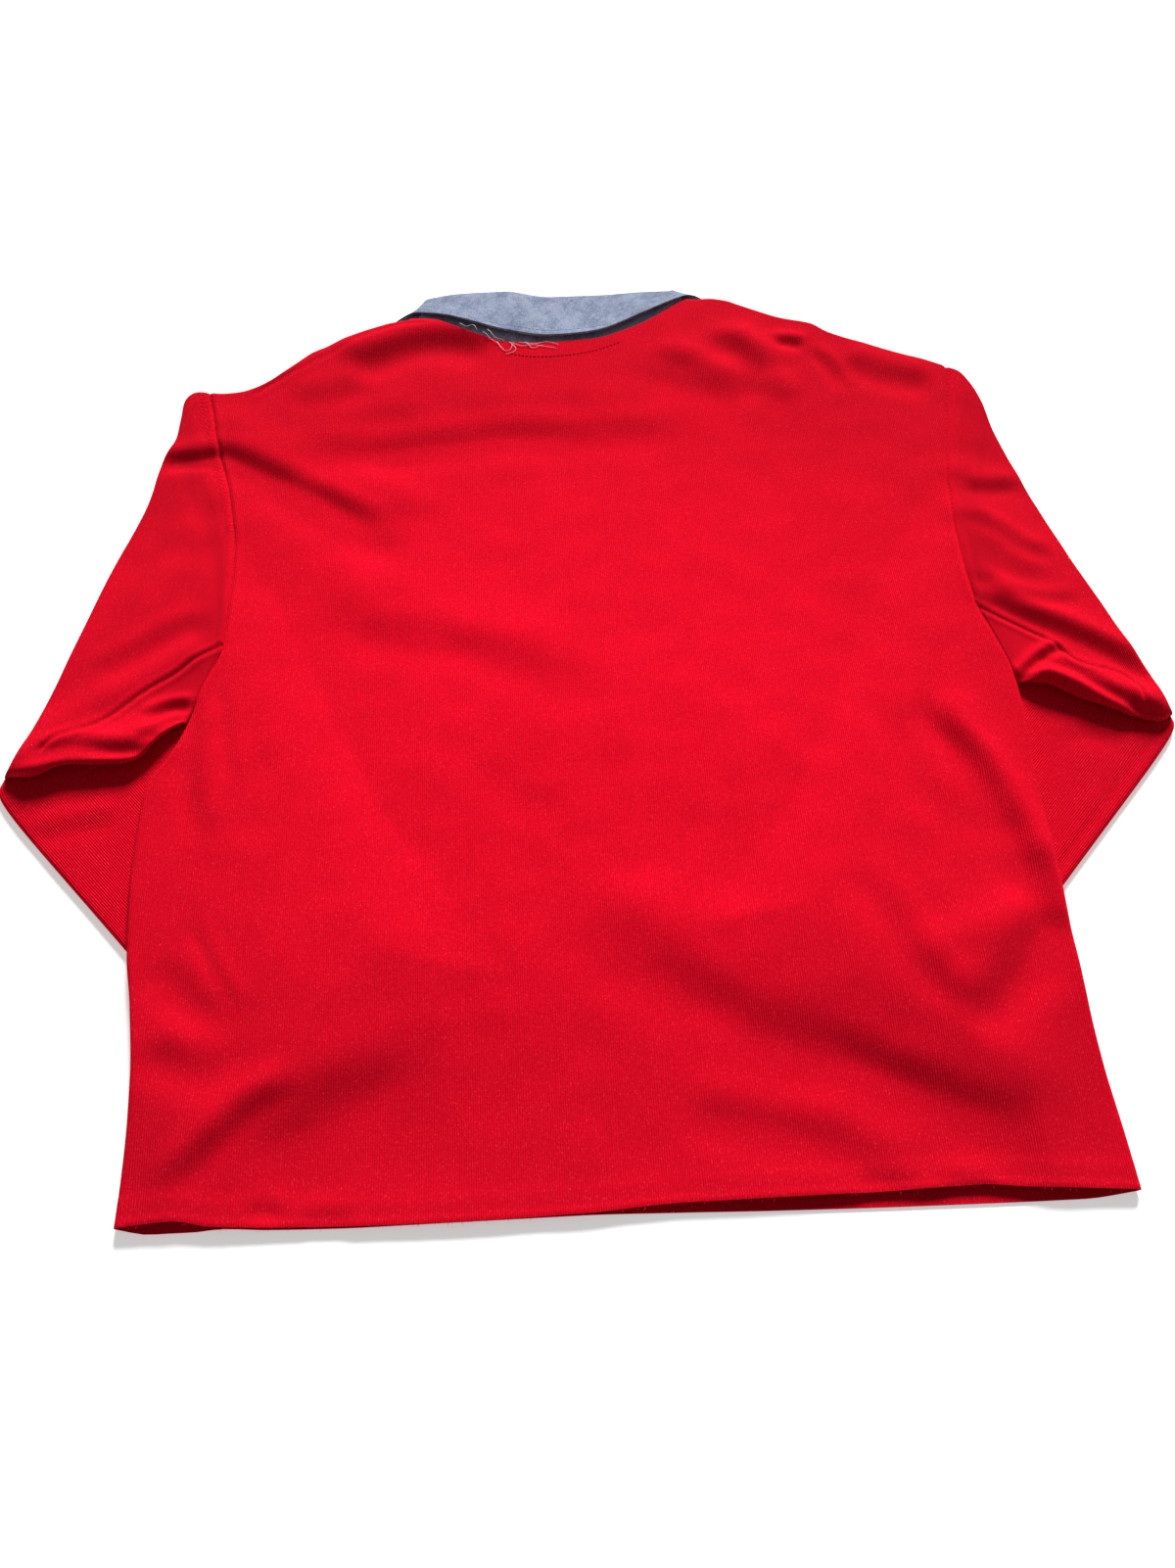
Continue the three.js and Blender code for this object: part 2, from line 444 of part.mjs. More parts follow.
// A point of the body's plan, blended between the hem, the two sides and the top edge
function bodyPlan(u, v, hem, top) {
  const hemX = lerp(HEM_LEFT_X, HEM_RIGHT_X, u);
  const topX = lerp(SHOULDER_LEFT_X, SHOULDER_RIGHT_X, u);
  const [leftY, rightY] = [leftRowY(v), rightRowY(v)];
  const cornersX = lerp(hemX, topX, v);
  const cornersY = lerp(lerp(HEM_LEFT_Y, HEM_RIGHT_Y, u), lerp(SHOULDER_LEFT_Y, SHOULDER_RIGHT_Y, u), v);
  return {
    x: lerp(hemX, topX, v) + lerp(leftEdge(leftY), rightEdge(rightY), u) - cornersX,
    y: lerp(hem(hemX), top(topX), v) + lerp(leftY, rightY, u) - cornersY,
  };
}

// Distance in from the sides that fold and from the shoulders, growing along the open armholes and neck
function distanceFromFolds(x, y) {
  const left = x - leftEdge(y) + Math.max(0, y - ARMPIT_LEFT_Y);
  const right = rightEdge(y) - x + Math.max(0, y - ARMPIT_RIGHT_Y);
  const intoNeck = Math.max(0, Math.min(x - NECK_LEFT_X, NECK_RIGHT_X - x));
  const shoulder = topBack(x) - y + intoNeck;
  return Math.max(0, Math.min(left, right, shoulder));
}

function bodyPanel(hem, top, upper) {
  const columns = bodyColumns();
  const steps = bodyRows();
  const way = upper ? 1 : -1;
  const rows = steps.map((v) => columns.map((u) => {
    const { x, y } = bodyPlan(u, v, hem, top);
    const [low, high] = [underside(x, y), topside(x, y)];
    const half = (high - low) / 2;
    const reached = roundness(distanceFromFolds(x, y), half);
    const z = (low + high) / 2 + way * lerp(SEAM_GAP / 2, half, reached);
    return new THREE.Vector3(x, y, z);
  }));
  const level = (i, j) => {
    const { x, y } = rows[j][i];
    const side = (i === 0 && y <= ARMPIT_LEFT_Y) || (i === columns.length - 1 && y <= ARMPIT_RIGHT_Y);
    const besideNeck = x <= NECK_LEFT_X + AT_CORNER || x >= NECK_RIGHT_X - AT_CORNER;
    const shoulder = j === steps.length - 1 && besideNeck;
    return side || shoulder;
  };
  return wall(rows, { facing: way, level });
}

// A flattened tube whose rings run from the outer edge over the top to the inner edge and back beneath
function flattenedRing(fractions, point) {
  const over = fractions.map((s) => point(s, 1));
  const beneath = fractions.slice(1, -1).reverse().map((s) => point(s, -1));
  return [...over, ...beneath];
}
function ringFractions(width, columnCount) {
  const edge = SLEEVE_EDGE_STEPS.map((d) => d / width);
  const inset = edge[edge.length - 1];
  return [
    ...edge.slice(0, -1),
    ...stepsBetween(inset, 1 - inset, columnCount),
    ...edge.map((s) => 1 - s).reverse(),
  ];
}
// The same along an armhole, with a step at each row of the body so that the two edges run side by side
function armholeFractions(rowY, armpitY, shoulderY) {
  const width = shoulderY - armpitY;
  const edge = SLEEVE_EDGE_STEPS.map((d) => d / width);
  const clear = 2 * edge[edge.length - 1];
  const alongArmhole = bodyRows().map((v) => (shoulderY - rowY(v)) / width);
  const shared = alongArmhole.filter((s) => s > clear && s < 1 - clear);
  return [...edge, ...shared.reverse(), ...edge.map((s) => 1 - s).reverse()];
}
const planCurve = (rows) => new THREE.CatmullRomCurve3(
  rows.map((p) => new THREE.Vector3(p.x, p.y, 0)), false, 'centripetal',
);

const ARMHOLE_LEFT = { edge: leftEdge, rowY: leftRowY, armpitY: ARMPIT_LEFT_Y, shoulderY: SHOULDER_LEFT_Y };
const ARMHOLE_RIGHT = {
  edge: rightEdge, rowY: rightRowY, armpitY: ARMPIT_RIGHT_Y, shoulderY: SHOULDER_RIGHT_Y,
};

// The upper sleeve, from the armhole to the roll over the elbow
function upperSleeve(sleeve, hole, side) {
  const { edge: armholeEdge, rowY, armpitY, shoulderY } = hole;
  const outer = planCurve(sleeve.outerEdge);
  const roll = planCurve(sleeve.rollEdge);
  const innerEdge = planCurve(sleeve.innerEdge);
  const outerStart = outer.getPointAt(0);
  const innerStart = innerEdge.getPointAt(0);
  const armhole = (s) => {
    const y = lerp(shoulderY, armpitY, s);
    const nearTip = Math.max(0, 1 - (s * (shoulderY - armpitY)) / TIP_RUN);
    return new THREE.Vector3(armholeEdge(y) + side * (ARMHOLE_PARTING + TIP_PARTING * nearTip), y, 0);
  };
  const plan = (s, v) => {
    const edges = innerEdge.getPointAt(v).clone().lerp(outer.getPointAt(v), 1 - s);
    const ends = armhole(s).lerp(roll.getPointAt(s), v);
    const startLine = outerStart.clone().lerp(innerStart, s);
    const endLine = roll.getPointAt(0).lerp(roll.getPointAt(1), s);
    return edges.add(ends).sub(startLine.lerp(endLine, v));
  };
  const width = outerStart.distanceTo(innerStart);
  const endWidth = roll.getLength();
  const endSteps = SLEEVE_EDGE_STEPS.map((d) => 1 - d / UPPER_SLEEVE_LENGTH).reverse();
  const steps = [...stepsBetween(0, endSteps[0], SLEEVE_ROWS), ...endSteps];
  const fractions = armholeFractions(rowY, armpitY, shoulderY);
  const rows = steps.map((v) => flattenedRing(fractions, (s, way) => {
    const { x, y } = plan(s, v);
    const [low, high] = [underside(x, y), topside(x, y)];
    const half = (high - low) / 2;
    const across = Math.min(s, 1 - s) * lerp(width, endWidth, v);
    const fromRoll = (1 - v) * UPPER_SLEEVE_LENGTH + ROLL_CAP * half;
    const reached = Math.min(roundness(across, half), roundness(fromRoll, half));
    return new THREE.Vector3(x, y, (low + high) / 2 + way * half * reached);
  }));
  return wall(rows, { facing: side < 0 ? -1 : 1, wrap: true, zip: true });
}

// A flat tube lying on the surface, along the arm between two distances from the elbow
function lyingTube(arm, from, to, widthAt, stepCount, thickness, side) {
  const half = FOREARM_HEIGHT / 2;
  const rows = Array.from({ length: stepCount + 1 }, (_, k) => {
    const along = lerp(from, to, k / stepCount);
    const outer = Math.max(0, -along) * ELBOW_BEND;
    const width = widthAt(along) - outer;
    const swell = arm.swell * Math.sin(Math.PI * clamp01(along / FOREARM_LENGTH) ** SWELL_SHIFT);
    return flattenedRing(ringFractions(width, FOREARM_COLUMNS), (s, way) => {
      const { x, y } = forearmPoint(arm, along, outer + s * width - swell * (1 - s));
      const reached = roundness(Math.min(s, 1 - s) * width, half);
      return new THREE.Vector3(x, y, half + way * half * reached);
    });
  });
  return wall(rows, { thickness, facing: side < 0 ? -1 : 1, wrap: true });
}
function forearm(arm, side) {
  return lyingTube(arm, -arm.tuck, FOREARM_LENGTH, forearmWidth, FOREARM_STEPS, WALL, side);
}
function cuff(arm, side) {
  const start = FOREARM_LENGTH + SEAM_GAP;
  const widthAt = (along) => lerp(CUFF_WIDTH + CUFF_TAPER, CUFF_WIDTH, (along - start) / CUFF_LENGTH);
  return lyingTube(arm, start, start + CUFF_LENGTH, widthAt, CUFF_STEPS, RIB_WALL, side);
}

// The collar's cross-section at a place along it: the stand from the seam to the fold, then the leaf
function collarStation(t) {
  const last = COLLAR.length - 1;
  const k = Math.min(last - 1, Math.floor(t));
  const f = t - k;
  const value = (column) => {
    const [a, b, c, d] = [k - 1, k, k + 1, k + 2].map((n) => COLLAR[Math.min(last, Math.max(0, n))][column]);
    const [m1, m2] = [(c - a) / 2, (d - b) / 2];
    const flat = (b - a) * (c - b) <= 0;
    const flatNext = (c - b) * (d - c) <= 0;
    const [s1, s2] = [flat ? 0 : m1, flatNext ? 0 : m2];
    const [f2, f3] = [f * f, f * f * f];
    return (2 * f3 - 3 * f2 + 1) * b + (f3 - 2 * f2 + f) * s1 + (3 * f2 - 2 * f3) * c + (f3 - f2) * s2;
  };
  const point = (name) => new THREE.Vector3(value(`${name}X`), value(`${name}Y`), value(`${name}Z`));
  const way = THREE.MathUtils.degToRad(value('way'));
  const off = new THREE.Vector3(Math.cos(way), 0, Math.sin(way));
  const [seam, fold, edge, radius] = [point('seam'), point('fold'), point('edge'), value('radius')];
  const past = fold.clone().sub(seam).setZ(0).normalize();
  const round = (degrees) => {
    const turn = THREE.MathUtils.degToRad(degrees);
    const outward = off.clone().multiplyScalar(-Math.cos(turn)).addScaledVector(past, Math.sin(turn));
    return { middle: fold.clone().addScaledVector(outward, radius), outward };
  };
  const flat = (from, to, t) => ({ middle: from.middle.clone().lerp(to, t), outward: from.outward });
  const gapTurn = THREE.MathUtils.radToDeg(COLLAR_FOLD_GAP / 2 / radius);
  const [foot, head] = [round(0), round(FOLD_TURN)];
  return {
    stand: [
      flat(foot, seam, 1), flat(foot, seam, 0.5), foot,
      round(FOLD_TURN / 4), round(FOLD_TURN / 2 - gapTurn),
    ],
    leaf: [
      round(FOLD_TURN / 2 + gapTurn), round((FOLD_TURN * 3) / 4), head,
      flat(head, edge, 1 / 3), flat(head, edge, 2 / 3), flat(head, edge, 1),
    ],
  };
}
function collarPiece(name) {
  const count = (COLLAR.length - 1) * COLLAR_STEPS_PER_ROW;
  const places = Array.from({ length: count + 1 }, (_, k) => collarStation(k / COLLAR_STEPS_PER_ROW)[name]);
  const normals = places.map((place) => place.map((p) => p.outward));
  const rows = places.map((place) => place.map(
    (p) => p.middle.clone().addScaledVector(p.outward, COLLAR_WALL / 2),
  ));
  return wall(rows, { thickness: COLLAR_WALL, normals });
}

// The placket under the front panel, a strip whose underside rests on the buttons
function placket() {
  const bottom = BUTTON_THICKNESS + SEAM_GAP;
  const rows = Array.from({ length: PLACKET_STEPS + 1 }, (_, k) => {
    const y = lerp(PLACKET_TOP_Y, PLACKET_BOTTOM_Y, k / PLACKET_STEPS);
    const x = lerp(PLACKET_TOP_X, PLACKET_BOTTOM_X, k / PLACKET_STEPS);
    return PLACKET_SIDES.map((side) => new THREE.Vector3(x + side * PLACKET_WIDTH / 2, y, bottom));
  });
  return wall(rows, { thickness: PLACKET_WALL });
}
function button(index) {
  const down = (index + 0.5) / BUTTON_COUNT;
  const lowRadius = BUTTON_RADIUS * BUTTON_TAPER;
  const disc = new THREE.CylinderGeometry(BUTTON_RADIUS, lowRadius, BUTTON_THICKNESS, BUTTON_SEGMENTS);
  disc.rotateX(Math.PI / 2);
  disc.translate(
    lerp(PLACKET_TOP_X, PLACKET_BOTTOM_X, down),
    lerp(PLACKET_TOP_Y, PLACKET_BOTTOM_Y, down),
    BUTTON_THICKNESS / 2,
  );
  return disc;
}

// The shirt
const shirt = new THREE.Group();
function add(name, geometry, finish) {
  const mesh = new THREE.Mesh(geometry, finish);
  mesh.name = name;
  mesh.position.set(0, -ORIGIN_Y, 0);
  shirt.add(mesh);
}
add('back_panel', bodyPanel(hemBack, topBack, true), jersey());
add('front_panel', bodyPanel(hemFront, topFront, false), jersey());
add('sleeve_left_upper', upperSleeve(SLEEVE_LEFT, ARMHOLE_LEFT, -1), jersey());
add('sleeve_right_upper', upperSleeve(SLEEVE_RIGHT, ARMHOLE_RIGHT, 1), jersey());
add('sleeve_left_forearm', forearm(FOREARM_LEFT, -1), jersey());
add('sleeve_right_forearm', forearm(FOREARM_RIGHT, 1), jersey());
add('cuff_left', cuff(FOREARM_LEFT, -1), rib());
add('cuff_right', cuff(FOREARM_RIGHT, 1), rib());
add('collar_stand', collarPiece('stand'), collarCloth());
add('collar_leaf', collarPiece('leaf'), collarCloth());
add('placket', placket(), jersey());
for (let k = 0; k < BUTTON_COUNT; k += 1) {
  add(`button_${k + 1}`, button(k), rubber());
}
export default shirt;
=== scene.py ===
import math

import bpy
import numpy as np
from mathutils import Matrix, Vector


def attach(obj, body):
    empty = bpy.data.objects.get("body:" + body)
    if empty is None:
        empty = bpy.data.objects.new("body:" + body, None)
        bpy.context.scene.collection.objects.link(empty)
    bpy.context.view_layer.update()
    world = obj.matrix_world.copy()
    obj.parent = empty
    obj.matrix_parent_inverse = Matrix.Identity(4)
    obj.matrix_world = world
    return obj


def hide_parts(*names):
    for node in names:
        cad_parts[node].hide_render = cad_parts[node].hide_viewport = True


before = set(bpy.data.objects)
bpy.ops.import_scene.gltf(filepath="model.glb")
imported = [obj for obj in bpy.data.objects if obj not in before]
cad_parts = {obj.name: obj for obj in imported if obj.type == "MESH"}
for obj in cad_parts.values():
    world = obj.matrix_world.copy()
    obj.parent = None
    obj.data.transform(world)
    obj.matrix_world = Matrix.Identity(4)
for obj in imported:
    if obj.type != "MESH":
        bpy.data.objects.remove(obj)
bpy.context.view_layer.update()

# A long-sleeved rugby shirt laid flat with its back up. Sizes here are millimetres, with the hem at y = 0.
# Each piece of cloth repeats its solid's form on a finer grid, with the creases, seams and threads added.
rng = np.random.default_rng(7)

# Driving sizes, as in the solids
ORIGIN_Y = 330.0
MM = 0.001
WALL, RIB_WALL, SEAM_GAP, AIR, LEAST_AIR, AIR_SOFTNESS = 1.5, 2.0, 0.3, 3.4, 0.7, 0.6
HEM_LEFT, HEM_RIGHT = (-308.0, 4.0), (313.0, -6.0)
SHOULDER_LEFT, SHOULDER_RIGHT = (-311.0, 675.0), (321.0, 673.0)
BODY_LENGTH = 700.0
ARMPIT_LEFT_Y, ARMPIT_RIGHT_Y = 415.0, 425.0
NECK_LEFT_X, NECK_RIGHT_X = -144.0, 108.0
UPPER_SLEEVE_LENGTH, ROLL_CAP = 250.0, 0.15
FOREARM_HEIGHT, FOREARM_LENGTH, FOREARM_WIDTHS = 6.0, 190.0, (150.0, 112.0)
CUFF_LENGTH, CUFF_WIDTH, CUFF_TAPER = 60.0, 92.0, 6.0
ELBOW_BEND, SWELL_SHIFT, REST_ON_CLEARANCE = 2.5, 0.35, 0.4
COLLAR_WALL, COLLAR_FOLD_GAP = 1.5, 0.4
PLACKET_WIDTH, PLACKET_WALL = 32.0, 1.5
PLACKET_TOP, PLACKET_BOTTOM = (-18.0, 625.0), (-4.0, 420.0)
BUTTON_RADIUS, BUTTON_THICKNESS, BUTTON_COUNT = 6.5, 1.8, 3

# Sizes of the surface, the sewing and the edges, which only this script has
RIPPLE_COUNT, RIPPLE_LENGTHS, RIPPLE_STEEPNESS = 16, (24, 90), 0.0012
SEAM_DEPTH, SEAM_WIDTH, SEAM_RIDGE, SEAM_RIDGE_AT, SEAM_RIDGE_WIDTH = 0.9, 1.3, 0.4, 4.0, 2.2
ARMHOLE_TUCK, ARMHOLE_TUCK_DEPTH = 0.6, 0.6
UNDERARM_LOW_Y, UNDERARM_HEIGHT, UNDERARM_RUN, PAST_ARMPIT, UNDERARM_SEAM_SHARE = 354.0, 0.8, 16.0, 6.0, 1.2
HEM_DEPTH, HEM_FADE, HEM_PROUD, HEM_ROLL, HEM_ROLL_WIDTH = 14.0, 4.0, 0.45, 0.35, 2.2
LIP_START, LIP_UNDERCUT = 0.88, 9.0
ELBOW_ROUND, TIP_DROP, TIP_REACH = 5.0, 4.5, 15.0
WALE_PITCH, RIB_PITCH, RIB_DEPTH, YARN_PITCH = 1.45, 2.9, 0.5, 0.9
EDGE_CREASE, EDGE_CREASE_AT, EDGE_CREASE_WIDTH = 0.9, 9.0, 1.6
LEAF_RISE, LEAF_RISE_WAVE, LEAF_EDGE_THICKER, LEAF_EDGE_START = 2.6, 0.6, 0.5, 0.88
LEAF_STITCH_AT, LEAF_STITCH_WIDTH, LEAF_STITCH_DEPTH = 0.9, 0.02, 0.25
LEAF_STITCH, LEAF_STITCH_GAP, LEAF_STITCH_RADIUS = 2.2, 1.1, 0.26
NECK_STITCH, NECK_STITCH_GAP, NECK_STITCH_RADIUS = 2.6, 0.8, 0.42
NECK_STITCH_PROUD, NECK_STITCH_DIP = 0.12, 0.35
SEAM_THREAD_RADIUS, SEAM_THREAD_SUNK, SEAM_THREAD_TAPER = 0.42, 0.12, 12.0
HEM_FIBRES, HEM_FIBRE_LENGTHS, HEM_FIBRE_RADIUS, HEM_FIBRE_MARGIN = 190, (1.2, 3.4), 0.11, 6

# Spacing of the grids: the fine steps at an edge that folds, and the even steps between the edges
BODY_EDGE = [0, 0.12, 0.4, 0.9, 1.6, 2.5, 3.6, 5.0, 6.8, 9.0]
RING_EDGE = [0, 0.15, 0.5, 1.1, 2.0, 3.2, 4.8, 7.0]
ROLL_EDGE = [0, 0.3, 0.8, 1.5, 2.5, 4.0, 6.0]
TUBE_EDGE = [0, 1.5, 3.5]
BACK_STEP, FRONT_STEP, SLEEVE_STEP, TUBE_STEP, FOREARM_STEP, RIB_STEP = 3.3, 8.0, 2.0, 3.5, 4.0, 1.2

# Outlines: x, y of each point
HEM_BACK = [
    (-308, 4), (-273, 6), (-250, 2), (-196, -1), (-107, -3), (-26, -2), (36, 1), (146, 1), (215, 2),
    (247, -1), (313, -6)]
HEM_FRONT = [
    (-308, 4), (-286, 0), (-262, 0), (-246, 1), (-215, -1), (-154, -2.5), (-31, -2.5), (30, -4), (92, -6),
    (185, -8), (279, -9), (313, -6)]
LEFT_EDGE = [
    (-308, 4), (-306.5, 60), (-307.5, 94), (-313, 140), (-319, 175), (-323, 240), (-322, 286), (-317, 305),
    (-307, 320), (-297, 345), (-288, 377), (-275, 415), (-275, 480), (-277, 519), (-280, 538), (-286, 570),
    (-296, 605), (-304, 645), (-311, 675)]
RIGHT_EDGE = [
    (313, -6), (312, 20), (311, 37), (308.5, 68), (307, 104), (307, 152), (308, 193), (309, 268),
    (312, 336), (311, 362), (304, 390), (295, 425), (293, 465), (294, 500), (297, 536), (302, 573),
    (312, 625), (321, 673)]
SHOULDER_AND_BACK_NECK = [
    (-311, 675), (-298, 674), (-285, 675), (-273, 679), (-261, 686), (-249, 696), (-237, 706), (-225, 716),
    (-213, 722), (-200, 730), (-188, 735), (-170, 742), (-157, 746), (-144, 747), (-122, 744), (-100, 732),
    (-72, 719), (-53, 715), (-18, 713), (17, 715), (53, 728), (71, 738), (90, 752), (108, 762), (123, 763),
    (138, 760), (151, 753), (165, 746), (183, 738), (211, 729), (223, 719), (254, 704), (278, 693),
    (311, 679), (321, 673)]
FRONT_NECK = [
    (-144, 747), (-139.5, 733), (-124, 700), (-98, 664), (-60, 636), (-18, 628), (24, 641), (62, 673),
    (88, 712), (103.5, 745), (108, 761)]
SLEEVE_LEFT = {
    "outer": [
        (-310.4, 675), (-323, 677), (-330.5, 670), (-333, 645), (-335, 623), (-343, 603), (-350, 557),
        (-369, 495), (-383, 436), (-398, 378), (-408, 345), (-422, 311)],
    "roll": [(-422, 311), (-401, 308), (-379, 315), (-353, 315), (-330, 317), (-314, 334), (-304, 344),
             (-297, 348)],
    "inner": [(-274.4, 415), (-287.4, 377), (-297, 348)]}
SLEEVE_RIGHT = {
    "outer": [
        (320.4, 673), (331, 668), (338, 655), (344, 632), (347, 600), (356, 555), (366, 512), (374, 480),
        (380, 455), (392, 415), (403, 376), (413, 345), (420, 319)],
    "roll": [(420, 319), (410, 313), (392, 316), (370, 326), (351, 335), (333, 346), (312, 351)],
    "inner": [(294.4, 425), (303.4, 390), (312, 351)]}
FOREARM_LEFT = {
    "tip": (-425, 306), "direction": (0.634, -0.773), "inward": (0.773, 0.634), "tuck": 24, "swell": 7}
FOREARM_RIGHT = {
    "tip": (421, 316), "direction": (-0.667, -0.745), "inward": (-0.745, 0.667), "tuck": 24, "swell": 5.5}

# The largest folds, where the solids have them: from x, y to x, y, reach, height
FOLDS = [
    (-290, 636, -150, 552, 20, 2.6), (-292, 597, -165, 500, 18, -2.4), (-250, 652, 20, 652, 18, 0.9),
    (-215, 590, -30, 600, 18, -1.1), (-180, 466, -40, 410, 26, 1.8), (150, 716, 178, 654, 13, 2.4),
    (132, 706, 150, 650, 12, -1.6), (28, 196, 245, 74, 24, 2.0), (10, 148, 228, 30, 20, -1.0),
    (262, 330, 296, 220, 16, 3.0), (236, 320, 278, 235, 14, -1.8), (214, 150, 270, 170, 16, 2.4),
    (-250, 70, -120, 122, 20, 1.5), (-262, 26, -130, 84, 17, -0.9), (-286, 158, -246, 100, 14, -1.8),
    (-60, 330, 90, 300, 90, 2.4), (60, 4, 270, -2, 22, 0.5), (-404, 324, -326, 336, 17, 6.5),
    (-300, 404, -392, 350, 14, 2.6), (338, 356, 404, 330, 15, 6), (318, 430, 402, 376, 14, 3.4),
    (306, 556, 352, 546, 12, 1.6), (300, 514, 344, 458, 12, 1.8)]

# Finer creases. Each is drawn from left to right, with a ridge on the far side of its line and a trough on
# the near side: ridge, trough, spread of each, how far they fade in from the ends, the points of the line
LEFT_SHOULDER = (1.8, 1.9, 9, 45, [
    (-372, 603), (-330, 606), (-295, 608), (-262, 592), (-233, 573), (-197, 550), (-150, 520)])
BODY_CREASES = [
    LEFT_SHOULDER,
    (5.0, 3.0, 14, 26, [(-200, 692), (-160, 711), (-125, 721), (-92, 717), (-64, 704)]),
    (1.3, 1.3, 12, 25, [(-250, 664), (-205, 668), (-170, 684)]),
    (1.2, 1.0, 13, 50, [(-240, 628), (-194, 606), (-138, 604), (-89, 612), (-40, 616), (8, 610), (50, 613),
                        (100, 596)]),
    (2.4, 2.0, 17, 34, [(56, 692), (90, 677), (124, 661), (160, 650)]),
    (0.9, 1.0, 9, 20, [(66, 704), (92, 690), (116, 682)]),
    (1.8, 1.6, 12, 22, [(110, 708), (134, 704), (160, 690), (184, 668)]),
    (2.2, 2.2, 5.5, 10, [(172, 706), (188, 707), (204, 701)]),
    (1.1, 1.1, 6, 20, [(204, 703), (222, 676), (236, 645)]),
    (1.9, 1.8, 12, 18, [(228, 686), (267, 668), (310, 656)]),
    (0.9, 0.9, 15, 50, [(-200, 444), (-150, 421), (-106, 410), (-62, 396), (-22, 375), (30, 352)]),
    (0.9, 0.7, 14, 70, [(20, 170), (56, 140), (92, 114), (143, 92), (201, 64), (268, 34)]),
    (0.5, 0.4, 10, 30, [(130, 94), (160, 84), (214, 58), (262, 36)]),
    (1.0, 1.0, 22, 36, [(-30, 200), (30, 152), (92, 108), (150, 84)]),
    (1.3, 1.3, 12, 28, [(34, 62), (82, 49), (129, 37), (178, 6)]),
    (1.4, 1.3, 8, 50, [(236, 346), (253, 316), (271, 289), (285, 254), (292, 216), (298, 170)]),
    (0.9, 0.9, 12, 40, [(205, 362), (229, 290), (250, 226)]),
    (2.5, 2.7, 14, 22, [(216, 104), (248, 124), (273, 153), (294, 184)]),
    (0.9, 0.9, 10, 24, [(168, 214), (195, 171), (211, 136), (232, 110)]),
    (1.5, 1.4, 8, 28, [(-284, 22), (-253, 52), (-234, 70), (-196, 90)]),
    (1.1, 1.3, 26, 55, [(-240, 40), (-168, 68), (-80, 62)]),
    (0.6, 0.7, 4.5, 20, [(-276, 198), (-259, 164), (-238, 130)]),
    (1.1, 1.1, 11, 24, [(-305, 176), (-280, 148), (-252, 126)]),
    (1.5, 1.5, 12, 24, [(-306, 120), (-273, 103), (-236, 92)]),
    (1.4, 1.4, 8, 30, [(-286, 376), (-286, 330), (-284, 298), (-274, 250)]),
    (0.7, 0.8, 5, 24, [(-270, 384), (-264, 337), (-256, 292)]),
    (1.2, 1.2, 14, 30, [(262, 268), (284, 214), (298, 152), (304, 104)]),
    (0.5, 1.0, 5, 9, [(-232, 12), (-217, 13), (-202, 9)]),
    (0.4, 0.9, 6, 10, [(-198, 6), (-182, 7), (-162, 4)]),
    (0.4, 1.0, 6, 12, [(140, 13), (160, 10), (182, 8)]),
    (0.5, 0.8, 5, 10, [(190, 6), (208, 6), (230, 3)]),
    (2.0, 1.8, 60, 60, [(-262, 92), (0, 108), (284, 84)]),
    (1.5, 1.5, 60, 60, [(-270, 636), (0, 644), (290, 636)])]
SLEEVE_CREASES = [
    LEFT_SHOULDER,
    (1.4, 1.6, 6.5, 12, [(-344, 603), (-318, 603), (-290, 607)]),
    (0.7, 0.8, 12, 22, [(-348, 510), (-314, 515), (-282, 506)]),
    (1.2, 1.0, 9, 24, [(-378, 390), (-340, 412), (-306, 433), (-277, 434)]),
    (1.0, 1.8, 5.5, 18, [(-410, 330), (-394, 331), (-370, 334), (-337, 328), (-318, 330)]),
    (3.0, 0.0, 5, 16, [(-420, 304), (-388, 309), (-355, 311), (-318, 313)]),
    (1.8, 1.8, 4.5, 12, [(-330, 352), (-310, 362), (-288, 364)]),
    (1.8, 2.4, 4, 8, [(-314, 330), (-303, 340), (-286, 343)]),
    (1.0, 1.0, 4, 10, [(-332, 334), (-313, 343), (-298, 356)]),
    (1.2, 1.2, 7, 14, [(306, 541), (331, 537), (358, 541)]),
    (1.3, 1.3, 7, 18, [(302, 516), (328, 492), (347, 472), (370, 468)]),
    (1.0, 1.0, 6, 16, [(297, 455), (323, 431), (352, 423), (378, 424)]),
    (1.7, 1.7, 7, 22, [(300, 437), (327, 413), (360, 393), (391, 370), (415, 336)]),
    (1.0, 2.4, 5, 16, [(328, 374), (357, 358), (376, 340), (394, 326), (418, 315)]),
    (3.0, 0.0, 5, 14, [(312, 346), (328, 350), (348, 340), (366, 328), (390, 314)]),
    (2.2, 2.6, 4, 8, [(306, 348), (321, 362), (333, 372), (352, 381)])]
FOREARM_CREASES = [
    (0.9, 0.9, 7, 16, [(-404, 268), (-370, 274), (-335, 280)]),
    (0.6, 0.6, 8, 16, [(330, 300), (352, 312), (384, 300)])]

# Lines of sewing: the stitches below the neck, and the seams that show as a fine groove
UNDERARM_SEAMS = [
    [(-274, 414), (-294, 401), (-307, 389), (-329, 374), (-359, 349), (-387, 337), (-396, 328)],
    [(293, 420), (309, 408), (326, 396), (347, 380), (358, 364), (389, 351), (397, 337), (397, 329)]]
NECK_STITCH_LINE = [(-54, 701), (-40, 697), (-24, 695.5), (-8, 696), (11, 699), (30, 705), (42, 710)]
SHOULDER_SEAM = [(-272, 670), (-244, 690), (-220, 705), (-187, 724), (-153, 738), (-129, 738)]

